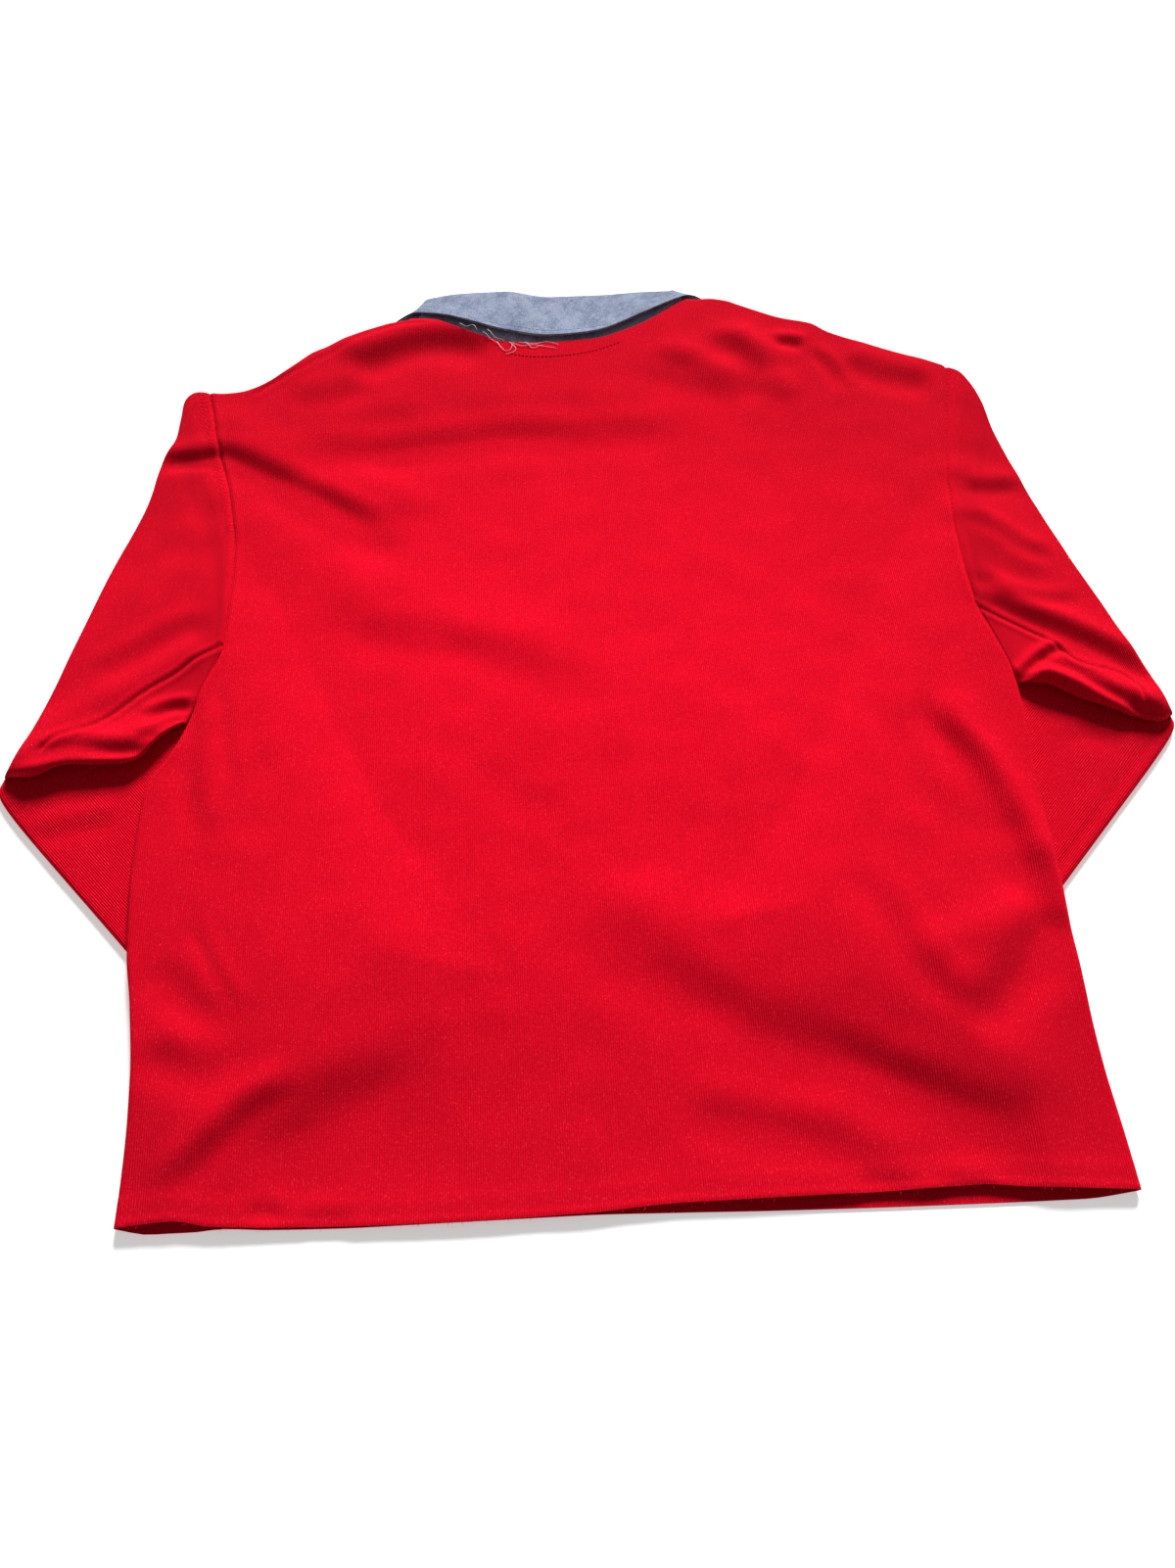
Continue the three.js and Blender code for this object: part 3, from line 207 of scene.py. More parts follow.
# The collar: seam x y z, fold x y z, outer edge x y z, way of the leaf in degrees, radius of the fold
COLLAR = [
    (-24, 630.5, 2.85, -25, 656, 1.8, -62, 566, 0.75, 270, 1.05),
    (-59, 638.5, 2.85, -56, 671, 1.8, -112, 597, 0.75, 270, 1.05),
    (-96, 666, 2.85, -88, 700, 1.8, -151, 641, 0.75, 270, 1.05),
    (-122, 703, 2.85, -112, 735, 1.8, -169, 697, 0.75, 270, 1.05),
    (-138, 738, 2.85, -128, 762, 1.8, -165, 741, 0.75, 270, 1.05),
    (-134, 754, 4.3, -128, 771, 4.9, -142, 760, 5.3, 180, 1.6),
    (-128, 752, 6.0, -122, 772, 7.9, -128, 754, 10.4, 90, 1.9),
    (-99, 728, 5.85, -99, 776, 7.8, -98, 744, 10.4, 90, 1.9),
    (-56, 712, 5.85, -58, 777, 7.8, -57, 728, 10.4, 90, 1.9),
    (-18, 710, 5.85, -17, 768, 7.8, -17, 719, 10.4, 90, 1.9),
    (24, 714.5, 5.85, 26, 768, 7.8, 25, 723, 10.4, 90, 1.9),
    (62, 731, 5.85, 66, 770, 7.8, 64, 743, 10.4, 90, 1.9),
    (88, 757, 6.0, 88, 770, 7.9, 92, 759, 10.4, 90, 1.9),
    (100, 768, 4.3, 93, 776, 4.9, 111, 770, 5.3, 0, 1.6),
    (100, 751, 2.85, 90, 769, 1.8, 133, 748, 0.75, -90, 1.05),
    (86, 715, 2.85, 76, 745, 1.8, 133, 711, 0.75, -90, 1.05),
    (60, 675, 2.85, 52, 706, 1.8, 115, 652, 0.75, -90, 1.05),
    (23, 643.5, 2.85, 20, 674, 1.8, 76, 604, 0.75, -90, 1.05),
    (-12, 631.5, 2.85, -11, 657, 1.8, 26, 569, 0.75, -90, 1.05)]


def lerp(a, b, t):
    return a + (b - a) * t


def smooth(t):
    t = np.clip(t, 0, 1)
    return t * t * (3 - 2 * t)


def table_curve(xs, ys):
    """A curve through the values that never overshoots them."""
    xs, ys = np.array(xs, float), np.array(ys, float)
    slopes = np.diff(ys) / np.diff(xs)
    a, b = slopes[:-1], slopes[1:]
    total = np.where(a + b == 0, 1, a + b)
    tangents = np.concatenate(([slopes[0]], np.where(a * b <= 0, 0, 2 * a * b / total), [slopes[-1]]))

    def curve(x):
        x = np.clip(x, xs[0], xs[-1])
        k = np.clip(np.searchsorted(xs, x, side="right") - 1, 0, len(xs) - 2)
        span = xs[k + 1] - xs[k]
        t = (x - xs[k]) / span
        t2, t3 = t * t, t * t * t
        return ((2 * t3 - 3 * t2 + 1) * ys[k] + (t3 - 2 * t2 + t) * span * tangents[k]
                + (3 * t2 - 2 * t3) * ys[k + 1] + (t3 - t2) * span * tangents[k + 1])
    return curve


def of_x(rows):
    return table_curve([p[0] for p in rows], [p[1] for p in rows])


def of_y(rows):
    return table_curve([p[1] for p in rows], [p[0] for p in rows])


hem_back, hem_front = of_x(HEM_BACK), of_x(HEM_FRONT)
left_edge, right_edge = of_y(LEFT_EDGE), of_y(RIGHT_EDGE)
top_back, front_neck = of_x(SHOULDER_AND_BACK_NECK), of_x(FRONT_NECK)


def top_front(x):
    return np.where((x > NECK_LEFT_X) & (x < NECK_RIGHT_X), front_neck(x), top_back(x))


def lengths_along(points):
    """The distance from the first point to each point, along their line."""
    return np.concatenate(([0], np.cumsum(np.linalg.norm(np.diff(points, axis=0), axis=1))))


def path(points, step=1.0):
    """A smooth curve through the points, sampled at even steps, and the distance along it."""
    p = np.array(points, float)
    ext = np.vstack([2 * p[0] - p[1], p, 2 * p[-1] - p[-2]])
    out = []
    for k in range(len(p) - 1):
        p0, p1, p2, p3 = ext[k:k + 4]
        t1 = max(1e-4, np.linalg.norm(p1 - p0)) ** 0.5
        t2 = t1 + max(1e-4, np.linalg.norm(p2 - p1)) ** 0.5
        t3 = t2 + max(1e-4, np.linalg.norm(p3 - p2)) ** 0.5
        t = np.linspace(t1, t2, 24, endpoint=False)[:, None]
        a1 = (t1 - t) / t1 * p0 + t / t1 * p1
        a2 = (t2 - t) / (t2 - t1) * p1 + (t - t1) / (t2 - t1) * p2
        a3 = (t3 - t) / (t3 - t2) * p2 + (t - t2) / (t3 - t2) * p3
        b1 = (t2 - t) / t2 * a1 + t / t2 * a2
        b2 = (t3 - t) / (t3 - t1) * a2 + (t - t1) / (t3 - t1) * a3
        out.append((t2 - t) / (t2 - t1) * b1 + (t - t1) / (t2 - t1) * b2)
    out = np.vstack(out + [p[-1:]])
    length = lengths_along(out)
    count = max(2, int(round(length[-1] / step)) + 1)
    s = np.linspace(0, length[-1], count)
    return np.stack([np.interp(s, length, out[:, k]) for k in range(out.shape[1])], 1), s


def at(curve, t):
    """The point at a share t of the way along a sampled path."""
    points = curve[0]
    where = np.linspace(0, 1, len(points))
    return np.stack([np.interp(t, where, points[:, k]) for k in range(points.shape[1])], -1)


def forearm_point(arm, along, across):
    return (arm["tip"][0] + arm["direction"][0] * along + arm["inward"][0] * across,
            arm["tip"][1] + arm["direction"][1] * along + arm["inward"][1] * across)


def forearm_plan(arm):
    end, tuck = FOREARM_LENGTH + CUFF_LENGTH, arm["tuck"]
    places = [(-tuck, tuck * ELBOW_BEND), (0, 0), (end, 0), (end, CUFF_WIDTH + CUFF_TAPER),
              (FOREARM_LENGTH, FOREARM_WIDTHS[1]), (0, FOREARM_WIDTHS[0]), (-tuck, FOREARM_WIDTHS[0])]
    return [forearm_point(arm, *p) for p in places]


COLLAR_PLAN = [
    (-62, 562), (-152, 640), (-172, 704), (-152, 762), (116, 770), (136, 712), (116, 648), (26, 566)]
HALF_PLACKET = PLACKET_WIDTH / 2
PLACKET_PLAN = [(x + side * HALF_PLACKET, y) for side, (x, y) in (
    (-1, PLACKET_TOP), (-1, PLACKET_BOTTOM), (1, PLACKET_BOTTOM), (1, PLACKET_TOP))]
# What lies beneath the front panel: plan, lift, margin, and the runs in which the lower layer falls and the
# upper one drapes down to the surface
UNDERLAYS = [
    (forearm_plan(FOREARM_LEFT), FOREARM_HEIGHT + REST_ON_CLEARANCE, 28, 80, 80),
    (forearm_plan(FOREARM_RIGHT), FOREARM_HEIGHT + REST_ON_CLEARANCE, 28, 80, 80),
    (COLLAR_PLAN, COLLAR_WALL + 0.6, 22, 60, 60),
    (PLACKET_PLAN, BUTTON_THICKNESS + 2 * SEAM_GAP + PLACKET_WALL, 22, 36, 280)]
FALL, DRAPE = 3, 4


def distance_outside(plan, x, y):
    p = np.array(plan, float)
    centre = p.mean(0)
    far = np.zeros(np.shape(x))
    for a, b in zip(p, np.roll(p, -1, axis=0)):
        n = np.array([b[1] - a[1], a[0] - b[0]]) / np.linalg.norm(b - a)
        n = -n * np.sign((centre - a) @ n)
        far = np.maximum(far, (x - a[0]) * n[0] + (y - a[1]) * n[1])
    return far


def lift(x, y, run):
    lifts = []
    for row in UNDERLAYS:
        plan, height, margin = row[:3]
        lifts.append(height * smooth(1 - (distance_outside(plan, x, y) - margin) / row[run]))
    return np.max(lifts, axis=0)


def underside(x, y):
    return lift(x, y, FALL)


def fold_height(x, y):
    total = np.zeros(np.shape(x))
    for x0, y0, x1, y1, reach, height in FOLDS:
        dx, dy = x1 - x0, y1 - y0
        t = np.clip(((x - x0) * dx + (y - y0) * dy) / (dx * dx + dy * dy), 0, 1)
        d = np.hypot(x - x0 - t * dx, y - y0 - t * dy)
        total += height * np.exp(-((d / reach) ** 2))
    return total


def beside(line, x, y):
    """Distance from a plan line, positive on its left, the way along it and its whole length."""
    points, s = path(line, 4.0)
    best = np.full(np.shape(x), 1e9)
    side, along = np.zeros(np.shape(x)), np.zeros(np.shape(x))
    for k in range(len(points) - 1):
        a, d = points[k], points[k + 1] - points[k]
        t = np.clip(((x - a[0]) * d[0] + (y - a[1]) * d[1]) / (d @ d), 0, 1)
        px, py = x - a[0] - t * d[0], y - a[1] - t * d[1]
        dist = np.hypot(px, py)
        near = dist < best
        best = np.where(near, dist, best)
        side = np.where(near, dist * np.sign(d[0] * py - d[1] * px), side)
        along = np.where(near, s[k] + t * np.linalg.norm(d), along)
    return side, along, s[-1]


def crease_height(creases, x, y):
    total = np.zeros(np.shape(x))
    for ridge, trough, spread, fade, line in creases:
        side, along, length = beside(line, x, y)
        ends = smooth(along / fade) * smooth((length - along) / fade)
        far, near = np.exp(-((side - spread) / spread) ** 2), np.exp(-((side + spread) / spread) ** 2)
        total += ends * (ridge * far - trough * near)
    return total


def seam_profile(distance):
    """A seam sinks between two soft ridges."""
    groove = np.exp(-(distance / SEAM_WIDTH) ** 2)
    ridges = np.exp(-((distance - SEAM_RIDGE_AT) / SEAM_RIDGE_WIDTH) ** 2)
    return SEAM_RIDGE * ridges - SEAM_DEPTH * groove


def seam_grooves(lines, x, y, depth=1.0):
    return depth * np.sum([seam_profile(np.abs(beside(line, x, y)[0])) for line in lines], axis=0)


WAVES = [(rng.uniform(*RIPPLE_LENGTHS), rng.uniform(0, math.pi), rng.uniform(0, 2 * math.pi))
         for _ in range(RIPPLE_COUNT)]


def ripples(x, y):
    """Faint unevenness of laid heavy jersey."""
    total = np.zeros(np.shape(x))
    for length, turn, phase in WAVES:
        k = 2 * math.pi / length
        total += RIPPLE_STEEPNESS * length * np.sin(k * (x * math.cos(turn) + y * math.sin(turn)) + phase)
    return total


def topside(x, y, extra):
    spare = AIR - LEAST_AIR + fold_height(x, y) + extra
    air = LEAST_AIR + (spare + np.hypot(spare, AIR_SOFTNESS)) / 2
    return lift(x, y, DRAPE) + 2 * WALL + air


def roundness(distance, half):
    t = np.clip(distance / half, 0, 1)
    return np.sqrt(1 - (1 - t) ** 2)


# Meshes
def to_frame(points):
    p = np.array(points, float).reshape(-1, 3)
    return (p - [0, ORIGIN_Y, 0]) * MM


def make_mesh(name, verts, faces, material, slot, cloth=None):
    mesh = bpy.data.meshes.new(name)
    mesh.from_pydata(to_frame(verts).tolist(), [], faces)
    mesh.shade_smooth()
    if cloth is not None:
        layer = mesh.attributes.new("cloth", "FLOAT_VECTOR", "POINT")
        values = np.zeros((len(cloth), 3), np.float32)
        values[:, :2] = cloth
        layer.data.foreach_set("vector", values.ravel())
    mesh.materials.append(material)
    obj = bpy.data.objects.new(name, mesh)
    bpy.context.scene.collection.objects.link(obj)
    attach(obj, "root")
    return obj


def grid_faces(rows, columns, start, wrap, flip):
    across = np.arange(columns if wrap else columns - 1)
    j, i = np.meshgrid(np.arange(rows - 1), across, indexing="ij")
    n = (i + 1) % columns
    quads = np.stack([j * columns + i, j * columns + n, (j + 1) * columns + n, (j + 1) * columns + i], -1)
    quads = quads.reshape(-1, 4) + start
    return quads[:, ::-1] if flip else quads


def cloth_wall(name, grid, material, slot, cloth, thickness=WALL, facing=1, wrap=False, zipped=False,
               level=None, normals=None):
    """A wall of cloth on grid[row, column], the outer face, with its inner face a thickness behind."""
    rows, columns = grid.shape[:2]
    if normals is None:
        if wrap:
            across = np.roll(grid, -1, axis=1) - np.roll(grid, 1, axis=1)
        else:
            across = np.gradient(grid, axis=1)
        normals = np.cross(across, np.gradient(grid, axis=0)) * facing
        if level is not None:
            normals[..., 2] = np.where(level, 0, normals[..., 2])
        normals /= np.maximum(np.linalg.norm(normals, axis=-1, keepdims=True), 1e-9)
    inner = grid - normals * thickness
    skin = rows * columns
    flip = facing < 0
    faces = [grid_faces(rows, columns, 0, wrap, flip), grid_faces(rows, columns, skin, wrap, not flip)]
    faces = [q for part in faces for q in part.tolist()]
    spans = columns if wrap else columns - 1

    def rim(a, b):
        quad = [b, a, skin + a, skin + b]
        faces.append(quad[::-1] if flip else quad)
    last = (rows - 1) * columns
    for i in range(spans):
        n = (i + 1) % columns
        rim(i, n)
        if not zipped:
            rim(last + n, last + i)
    if not wrap:
        for j in range(rows - 1):
            rim((j + 1) * columns, j * columns)
            rim(j * columns + columns - 1, (j + 1) * columns + columns - 1)
    if zipped:
        for k in range(columns // 2):
            ring = [last + k, last + (k + 1) % columns, last + (-k - 1) % columns, last + (-k) % columns]
            corners = [v for n, v in enumerate(ring) if v not in ring[:n]]
            if len(corners) > 2:
                faces.append(corners[::-1] if flip else corners)
                back = [skin + v for v in corners]
                faces.append(back if flip else back[::-1])
    verts = np.concatenate([grid.reshape(-1, 3), inner.reshape(-1, 3)])
    marks = np.concatenate([cloth.reshape(-1, 2)] * 2)
    return make_mesh(name, verts, faces, material, slot, marks)


def steps(length, edge, step):
    """Places from 0 to 1 along a length, with fine steps at the edges that fold."""
    first = np.array(edge, float)
    last = length - first[::-1]
    count = max(1, int(round((last[0] - first[-1]) / step)))
    middle = np.linspace(first[-1], last[0], count + 1)[1:-1]
    return np.concatenate([first, middle, last]) / length


# Materials
def new_material(name, values):
    material = bpy.data.materials.new(name)
    material.use_nodes = True
    tree = material.node_tree
    tree.nodes.clear()
    out = tree.nodes.new("ShaderNodeOutputMaterial")
    shader = tree.nodes.new("ShaderNodeBsdfPrincipled")
    tree.links.new(shader.outputs["BSDF"], out.inputs["Surface"])
    for socket, value in values.items():
        shader.inputs[socket].default_value = value
    return material, tree, shader


class Graph:
    """Short ways to add nodes to a material."""

    def __init__(self, tree):
        self.tree = tree

    def put(self, socket, value):
        if isinstance(value, bpy.types.NodeSocket):
            self.tree.links.new(value, socket)
        else:
            socket.default_value = value

    def cloth(self):
        node = self.tree.nodes.new("ShaderNodeAttribute")
        node.attribute_name = "cloth"
        return node.outputs["Vector"]

    def stretch(self, vector, scale):
        node = self.tree.nodes.new("ShaderNodeMapping")
        self.put(node.inputs["Vector"], vector)
        node.inputs["Scale"].default_value = scale
        return node.outputs["Vector"]

    def noise(self, vector, scale, detail=2.0, roughness=0.5, offset=0.0):
        node = self.tree.nodes.new("ShaderNodeTexNoise")
        node.noise_dimensions = "4D"
        self.put(node.inputs["Vector"], vector)
        node.inputs["W"].default_value = offset
        node.inputs["Scale"].default_value = scale
        node.inputs["Detail"].default_value = detail
        node.inputs["Roughness"].default_value = roughness
        return node.outputs["Fac"]

    def math(self, kind, a, b=0.0):
        node = self.tree.nodes.new("ShaderNodeMath")
        node.operation = kind
        self.put(node.inputs[0], a)
        self.put(node.inputs[1], b)
        return node.outputs[0]

    def add(self, a, b):
        return self.math("ADD", a, b)

    def times(self, a, b):
        return self.math("MULTIPLY", a, b)

    def spread(self, value, low, high, to_low=0.0, to_high=1.0):
        node = self.tree.nodes.new("ShaderNodeMapRange")
        node.interpolation_type = "SMOOTHSTEP"
        for name, v in (("Value", value), ("From Min", low), ("From Max", high), ("To Min", to_low),
                        ("To Max", to_high)):
            self.put(node.inputs[name], v)
        return node.outputs["Result"]

    def mix(self, share, a, b):
        node = self.tree.nodes.new("ShaderNodeMix")
        node.data_type = "RGBA"
        self.put(node.inputs["Factor"], share)
        self.put(node.inputs[6], a)
        self.put(node.inputs[7], b)
        return node.outputs[2]

    def split(self, vector):
        node = self.tree.nodes.new("ShaderNodeSeparateXYZ")
        self.put(node.inputs[0], vector)
        return node.outputs

    def bump(self, height, strength, distance):
        node = self.tree.nodes.new("ShaderNodeBump")
        self.put(node.inputs["Height"], height)
        node.inputs["Strength"].default_value = strength
        node.inputs["Distance"].default_value = distance
        return node.outputs["Normal"]


# Where the painted light on the jersey is brightest, in metres, and how much less its painted shade grows
# from side to side
PAINTED_LIGHT_MIDDLE_Y, PAINTED_SHADE_SIDEWAYS_SHARE = 0.05, 0.85


def knit_material(name, base, deep, pale, wale, wale_depth):
    """Cotton jersey: fine vertical wales, mottled dye, and painted shade deepening away from the middle of
    the back.
    """
    material, tree, shader = new_material(name, {
        "Roughness": 0.95, "Specular IOR Level": 0.015, "Specular Tint": (1.0, 0.25, 0.28, 1),
        "Sheen Weight": 0.015, "Sheen Roughness": 0.55, "Sheen Tint": (1.0, 0.12, 0.16, 1)})
    g = Graph(tree)
    cloth = g.cloth()
    x = g.split(cloth)[0]
    wander = g.times(g.noise(g.stretch(cloth, (1, 0.35, 1)), 0.12, 2), 1.6)
    waves = g.math("SINE", g.times(g.add(x, wander), 2 * math.pi / wale))
    grain = g.noise(g.stretch(cloth, (1.0, 0.6, 1.0)), 0.62, 3, 0.65, 3.0)
    blots = g.noise(cloth, 0.05, 3, 0.55, 5.0)
    cloud = g.noise(cloth, 0.012, 2, 0.5, 8.0)
    tone = g.add(g.spread(grain, 0.3, 0.7, -0.42, 0.42), g.spread(blots, 0.3, 0.7, -0.07, 0.07))
    tone = g.add(tone, g.spread(cloud, 0.35, 0.65, -0.05, 0.05))
    # Painted shade: the jersey is painted darker away from the middle of the back, standing in for light that
    # falls off towards the edges
    place = g.split(tree.nodes.new("ShaderNodeTexCoord").outputs["Object"])
    east, north = g.times(place[0], PAINTED_SHADE_SIDEWAYS_SHARE), g.math("SUBTRACT", place[1], PAINTED_LIGHT_MIDDLE_Y)
    from_painted_light_middle = g.math("SQRT", g.add(g.times(east, east), g.times(north, north)))
    tone = g.math("SUBTRACT", tone, g.spread(from_painted_light_middle, 0.10, 0.44, 0.0, 0.55))
    tone = g.add(g.add(tone, g.times(waves, 0.08)), 0.55)
    colour = g.mix(tone, deep, base)
    colour = g.mix(g.spread(from_painted_light_middle, 0.08, 0.44, 0.0, 0.34), colour, RED_PAINTED_SHADE)
    flecks = g.noise(g.stretch(cloth, (1.0, 0.5, 1.0)), 1.2, 2, 0.6, 11.0)
    colour = g.mix(g.spread(flecks, 0.55, 0.76, 0.0, 0.7), colour, pale)
    g.put(shader.inputs["Base Color"], colour)
    rough = g.noise(cloth, 0.55, 4, 0.65, 14.0)
    height = g.add(g.times(waves, wale_depth), g.times(rough, 0.9))
    g.put(shader.inputs["Normal"], g.bump(height, 0.6, 0.0006))
    return material


def weave_material(name, base, deep, pale):
    """Woven chambray: pale and blue yarns crossing, with slubs both ways."""
    material, tree, shader = new_material(
        name, {"Roughness": 0.9, "Specular IOR Level": 0.15, "Sheen Weight": 0.08})
    g = Graph(tree)
    cloth = g.cloth()
    along = g.noise(g.stretch(cloth, (0.22, 1.6, 1)), 1.0, 3, 0.6, 1.0)
    across = g.noise(g.stretch(cloth, (1.6, 0.22, 1)), 1.0, 3, 0.6, 2.0)
    blots = g.noise(cloth, 0.075, 3, 0.6, 4.0)
    x, y = g.split(cloth)[:2]
    yarns = g.times(g.math("SINE", g.times(x, 2 * math.pi / YARN_PITCH)),
                    g.math("SINE", g.times(y, 2 * math.pi / YARN_PITCH)))
    tone = g.add(g.spread(along, 0.3, 0.7, -0.45, 0.45), g.spread(across, 0.3, 0.7, -0.45, 0.45))
    tone = g.add(tone, g.spread(blots, 0.3, 0.7, -0.38, 0.38))
    tone = g.add(g.add(tone, g.times(yarns, 0.12)), 0.5)
    colour = g.mix(tone, deep, base)
    slubs = g.noise(g.stretch(cloth, (0.4, 1.4, 1)), 0.8, 2, 0.5, 9.0)
    colour = g.mix(g.spread(slubs, 0.58, 0.75, 0.0, 0.8), colour, pale)
    g.put(shader.inputs["Base Color"], colour)
    height = g.add(yarns, g.add(along, across))
    g.put(shader.inputs["Normal"], g.bump(height, 0.45, 0.0003))
    return material


def plain_fibre(name, base, deep, roughness=0.8):
    """Thread or fibre, a little uneven in tone."""
    material, tree, shader = new_material(name, {"Roughness": roughness, "Specular IOR Level": 0.1})
    g = Graph(tree)
    place = tree.nodes.new("ShaderNodeTexCoord").outputs["Object"]
    g.put(shader.inputs["Base Color"], g.mix(g.noise(place, 900.0, 2), deep, base))
    return material


RED = (0.80, 0.0030, 0.020, 1)
RED_DEEP = (0.60, 0.0018, 0.012, 1)
# Painted shade: the deepest red, mixed into the jersey away from the middle of the back
RED_PAINTED_SHADE = (0.38, 0.0030, 0.014, 1)
RED_PALE = (0.86, 0.030, 0.066, 1)
jersey = knit_material("jersey_cloth", RED, RED_DEEP, RED_PALE, WALE_PITCH, 0.5)
rib = knit_material("rib_knit", (0.66, 0.004, 0.017, 1), (0.44, 0.0025, 0.011, 1), RED_PALE, RIB_PITCH, 1.4)
collar_cloth = weave_material(
    "collar_chambray", (0.30, 0.34, 0.45, 1), (0.13, 0.165, 0.26, 1), (0.46, 0.50, 0.59, 1))
# The stand is the leaf's chambray painted paler: painted light where the leaf shades it
stand_painted_light = weave_material(
    "stand_chambray_painted_light", (0.46, 0.52, 0.66, 1), (0.20, 0.25, 0.38, 1), (0.62, 0.66, 0.76, 1))
thread_red = plain_fibre("thread_red", (0.62, 0.004, 0.016, 1), (0.36, 0.002, 0.009, 1))
thread_dark = plain_fibre("thread_dark", (0.30, 0.002, 0.008, 1), (0.16, 0.001, 0.005, 1))
thread_pale = plain_fibre("thread_pale", (0.86, 0.80, 0.82, 1), (0.66, 0.62, 0.68, 1))
thread_blue = plain_fibre("thread_blue", (0.55, 0.62, 0.74, 1), (0.36, 0.43, 0.56, 1))
fuzz_red = plain_fibre("fuzz_red", (0.86, 0.03, 0.055, 1), (0.70, 0.008, 0.028, 1), 1.0)


# The body
def body_plan(u, v, hem, top):
    hem_x = lerp(HEM_LEFT[0], HEM_RIGHT[0], u)
    top_x = lerp(SHOULDER_LEFT[0], SHOULDER_RIGHT[0], u)
    left_y = lerp(HEM_LEFT[1], SHOULDER_LEFT[1], v)
    right_y = lerp(HEM_RIGHT[1], SHOULDER_RIGHT[1], v)
    corners_x = lerp(hem_x, top_x, v)
    corners_y = lerp(lerp(HEM_LEFT[1], HEM_RIGHT[1], u), lerp(SHOULDER_LEFT[1], SHOULDER_RIGHT[1], u), v)
    x = lerp(hem_x, top_x, v) + lerp(left_edge(left_y), right_edge(right_y), u) - corners_x
    y = lerp(hem(hem_x), top(top_x), v) + lerp(left_y, right_y, u) - corners_y
    return x, y


def distance_from_folds(x, y):
    left = x - left_edge(y) + np.maximum(0, y - ARMPIT_LEFT_Y)
    right = right_edge(y) - x + np.maximum(0, y - ARMPIT_RIGHT_Y)
    into_neck = np.maximum(0, np.minimum(x - NECK_LEFT_X, NECK_RIGHT_X - x))
    shoulder = top_back(x) - y + into_neck
    return np.maximum(0, np.minimum(np.minimum(left, right), shoulder))


def armhole_dip(x, y):
    left = np.where(y > ARMPIT_LEFT_Y, np.abs(x - left_edge(y)), 99)
    right = np.where(y > ARMPIT_RIGHT_Y, np.abs(right_edge(y) - x), 99)
    return seam_profile(np.minimum(left, right))


def underarm(y, armpit_y):
    """How high the top stays at the edge below the armpit, where sleeve and body lie side by side."""
    below = smooth((armpit_y + PAST_ARMPIT - y) / PAST_ARMPIT)
    return UNDERARM_HEIGHT * smooth((y - UNDERARM_LOW_Y) / UNDERARM_RUN) * below


def back_surface(x, y):
    """The height of the back of the shirt over the plan."""
    extra = crease_height(BODY_CREASES, x, y) + ripples(x, y) + seam_grooves([SHOULDER_SEAM], x, y)
    low, high = underside(x, y), topside(x, y, extra)
    half = (high - low) / 2
    kept = np.where(x < 0, underarm(y, ARMPIT_LEFT_Y), underarm(y, ARMPIT_RIGHT_Y))
    reached = np.maximum(roundness(distance_from_folds(x, y), half), kept)
    return (low + high) / 2 + lerp(SEAM_GAP / 2, half, reached) + armhole_dip(x, y)


def hem_roll(x, y, hem):
    """The hem's double cloth stands a little proud."""
    d = y - hem(x)
    roll = np.exp(-((d - HEM_ROLL_WIDTH) / HEM_ROLL_WIDTH) ** 2)
    return HEM_PROUD * smooth(1 - (d - HEM_DEPTH) / HEM_FADE) + HEM_ROLL * roll


def body_panel(name, hem, top, upper, step):
    across = steps(HEM_RIGHT[0] - HEM_LEFT[0], BODY_EDGE, step)
    up = steps(BODY_LENGTH, BODY_EDGE, step)
    u, v = np.meshgrid(across, up)
    x, y = body_plan(u, v, hem, top)
    if upper:
        z = back_surface(x, y) + hem_roll(x, y, hem)
    else:
        low, high = underside(x, y), topside(x, y, 0)
        half = (high - low) / 2
        z = (low + high) / 2 - lerp(SEAM_GAP / 2, half, roundness(distance_from_folds(x, y), half))
    first, last = np.zeros(x.shape, bool), np.zeros(x.shape, bool)
    first[:, 0], last[:, -1] = True, True
    shoulder = np.zeros(x.shape, bool)
    shoulder[-1] = (x[-1] <= NECK_LEFT_X + 0.01) | (x[-1] >= NECK_RIGHT_X - 0.01)
    if upper:
        level = ((first | last) & (y <= UNDERARM_LOW_Y)) | shoulder
    else:
        level = (first & (y <= ARMPIT_LEFT_Y)) | (last & (y <= ARMPIT_RIGHT_Y)) | shoulder
    return cloth_wall(name, np.stack([x, y, z], -1), jersey, "jersey", np.stack([x, y], -1),
                      facing=1 if upper else -1, level=level)


back = body_panel("back_cloth", hem_back, top_back, True, BACK_STEP)
front = body_panel("front_cloth", hem_front, top_front, False, FRONT_STEP)


# The sleeves
def sleeve_extra(x, y):
    seams = seam_grooves(UNDERARM_SEAMS, x, y, UNDERARM_SEAM_SHARE)
    return crease_height(SLEEVE_CREASES, x, y) + ripples(x, y) + seams


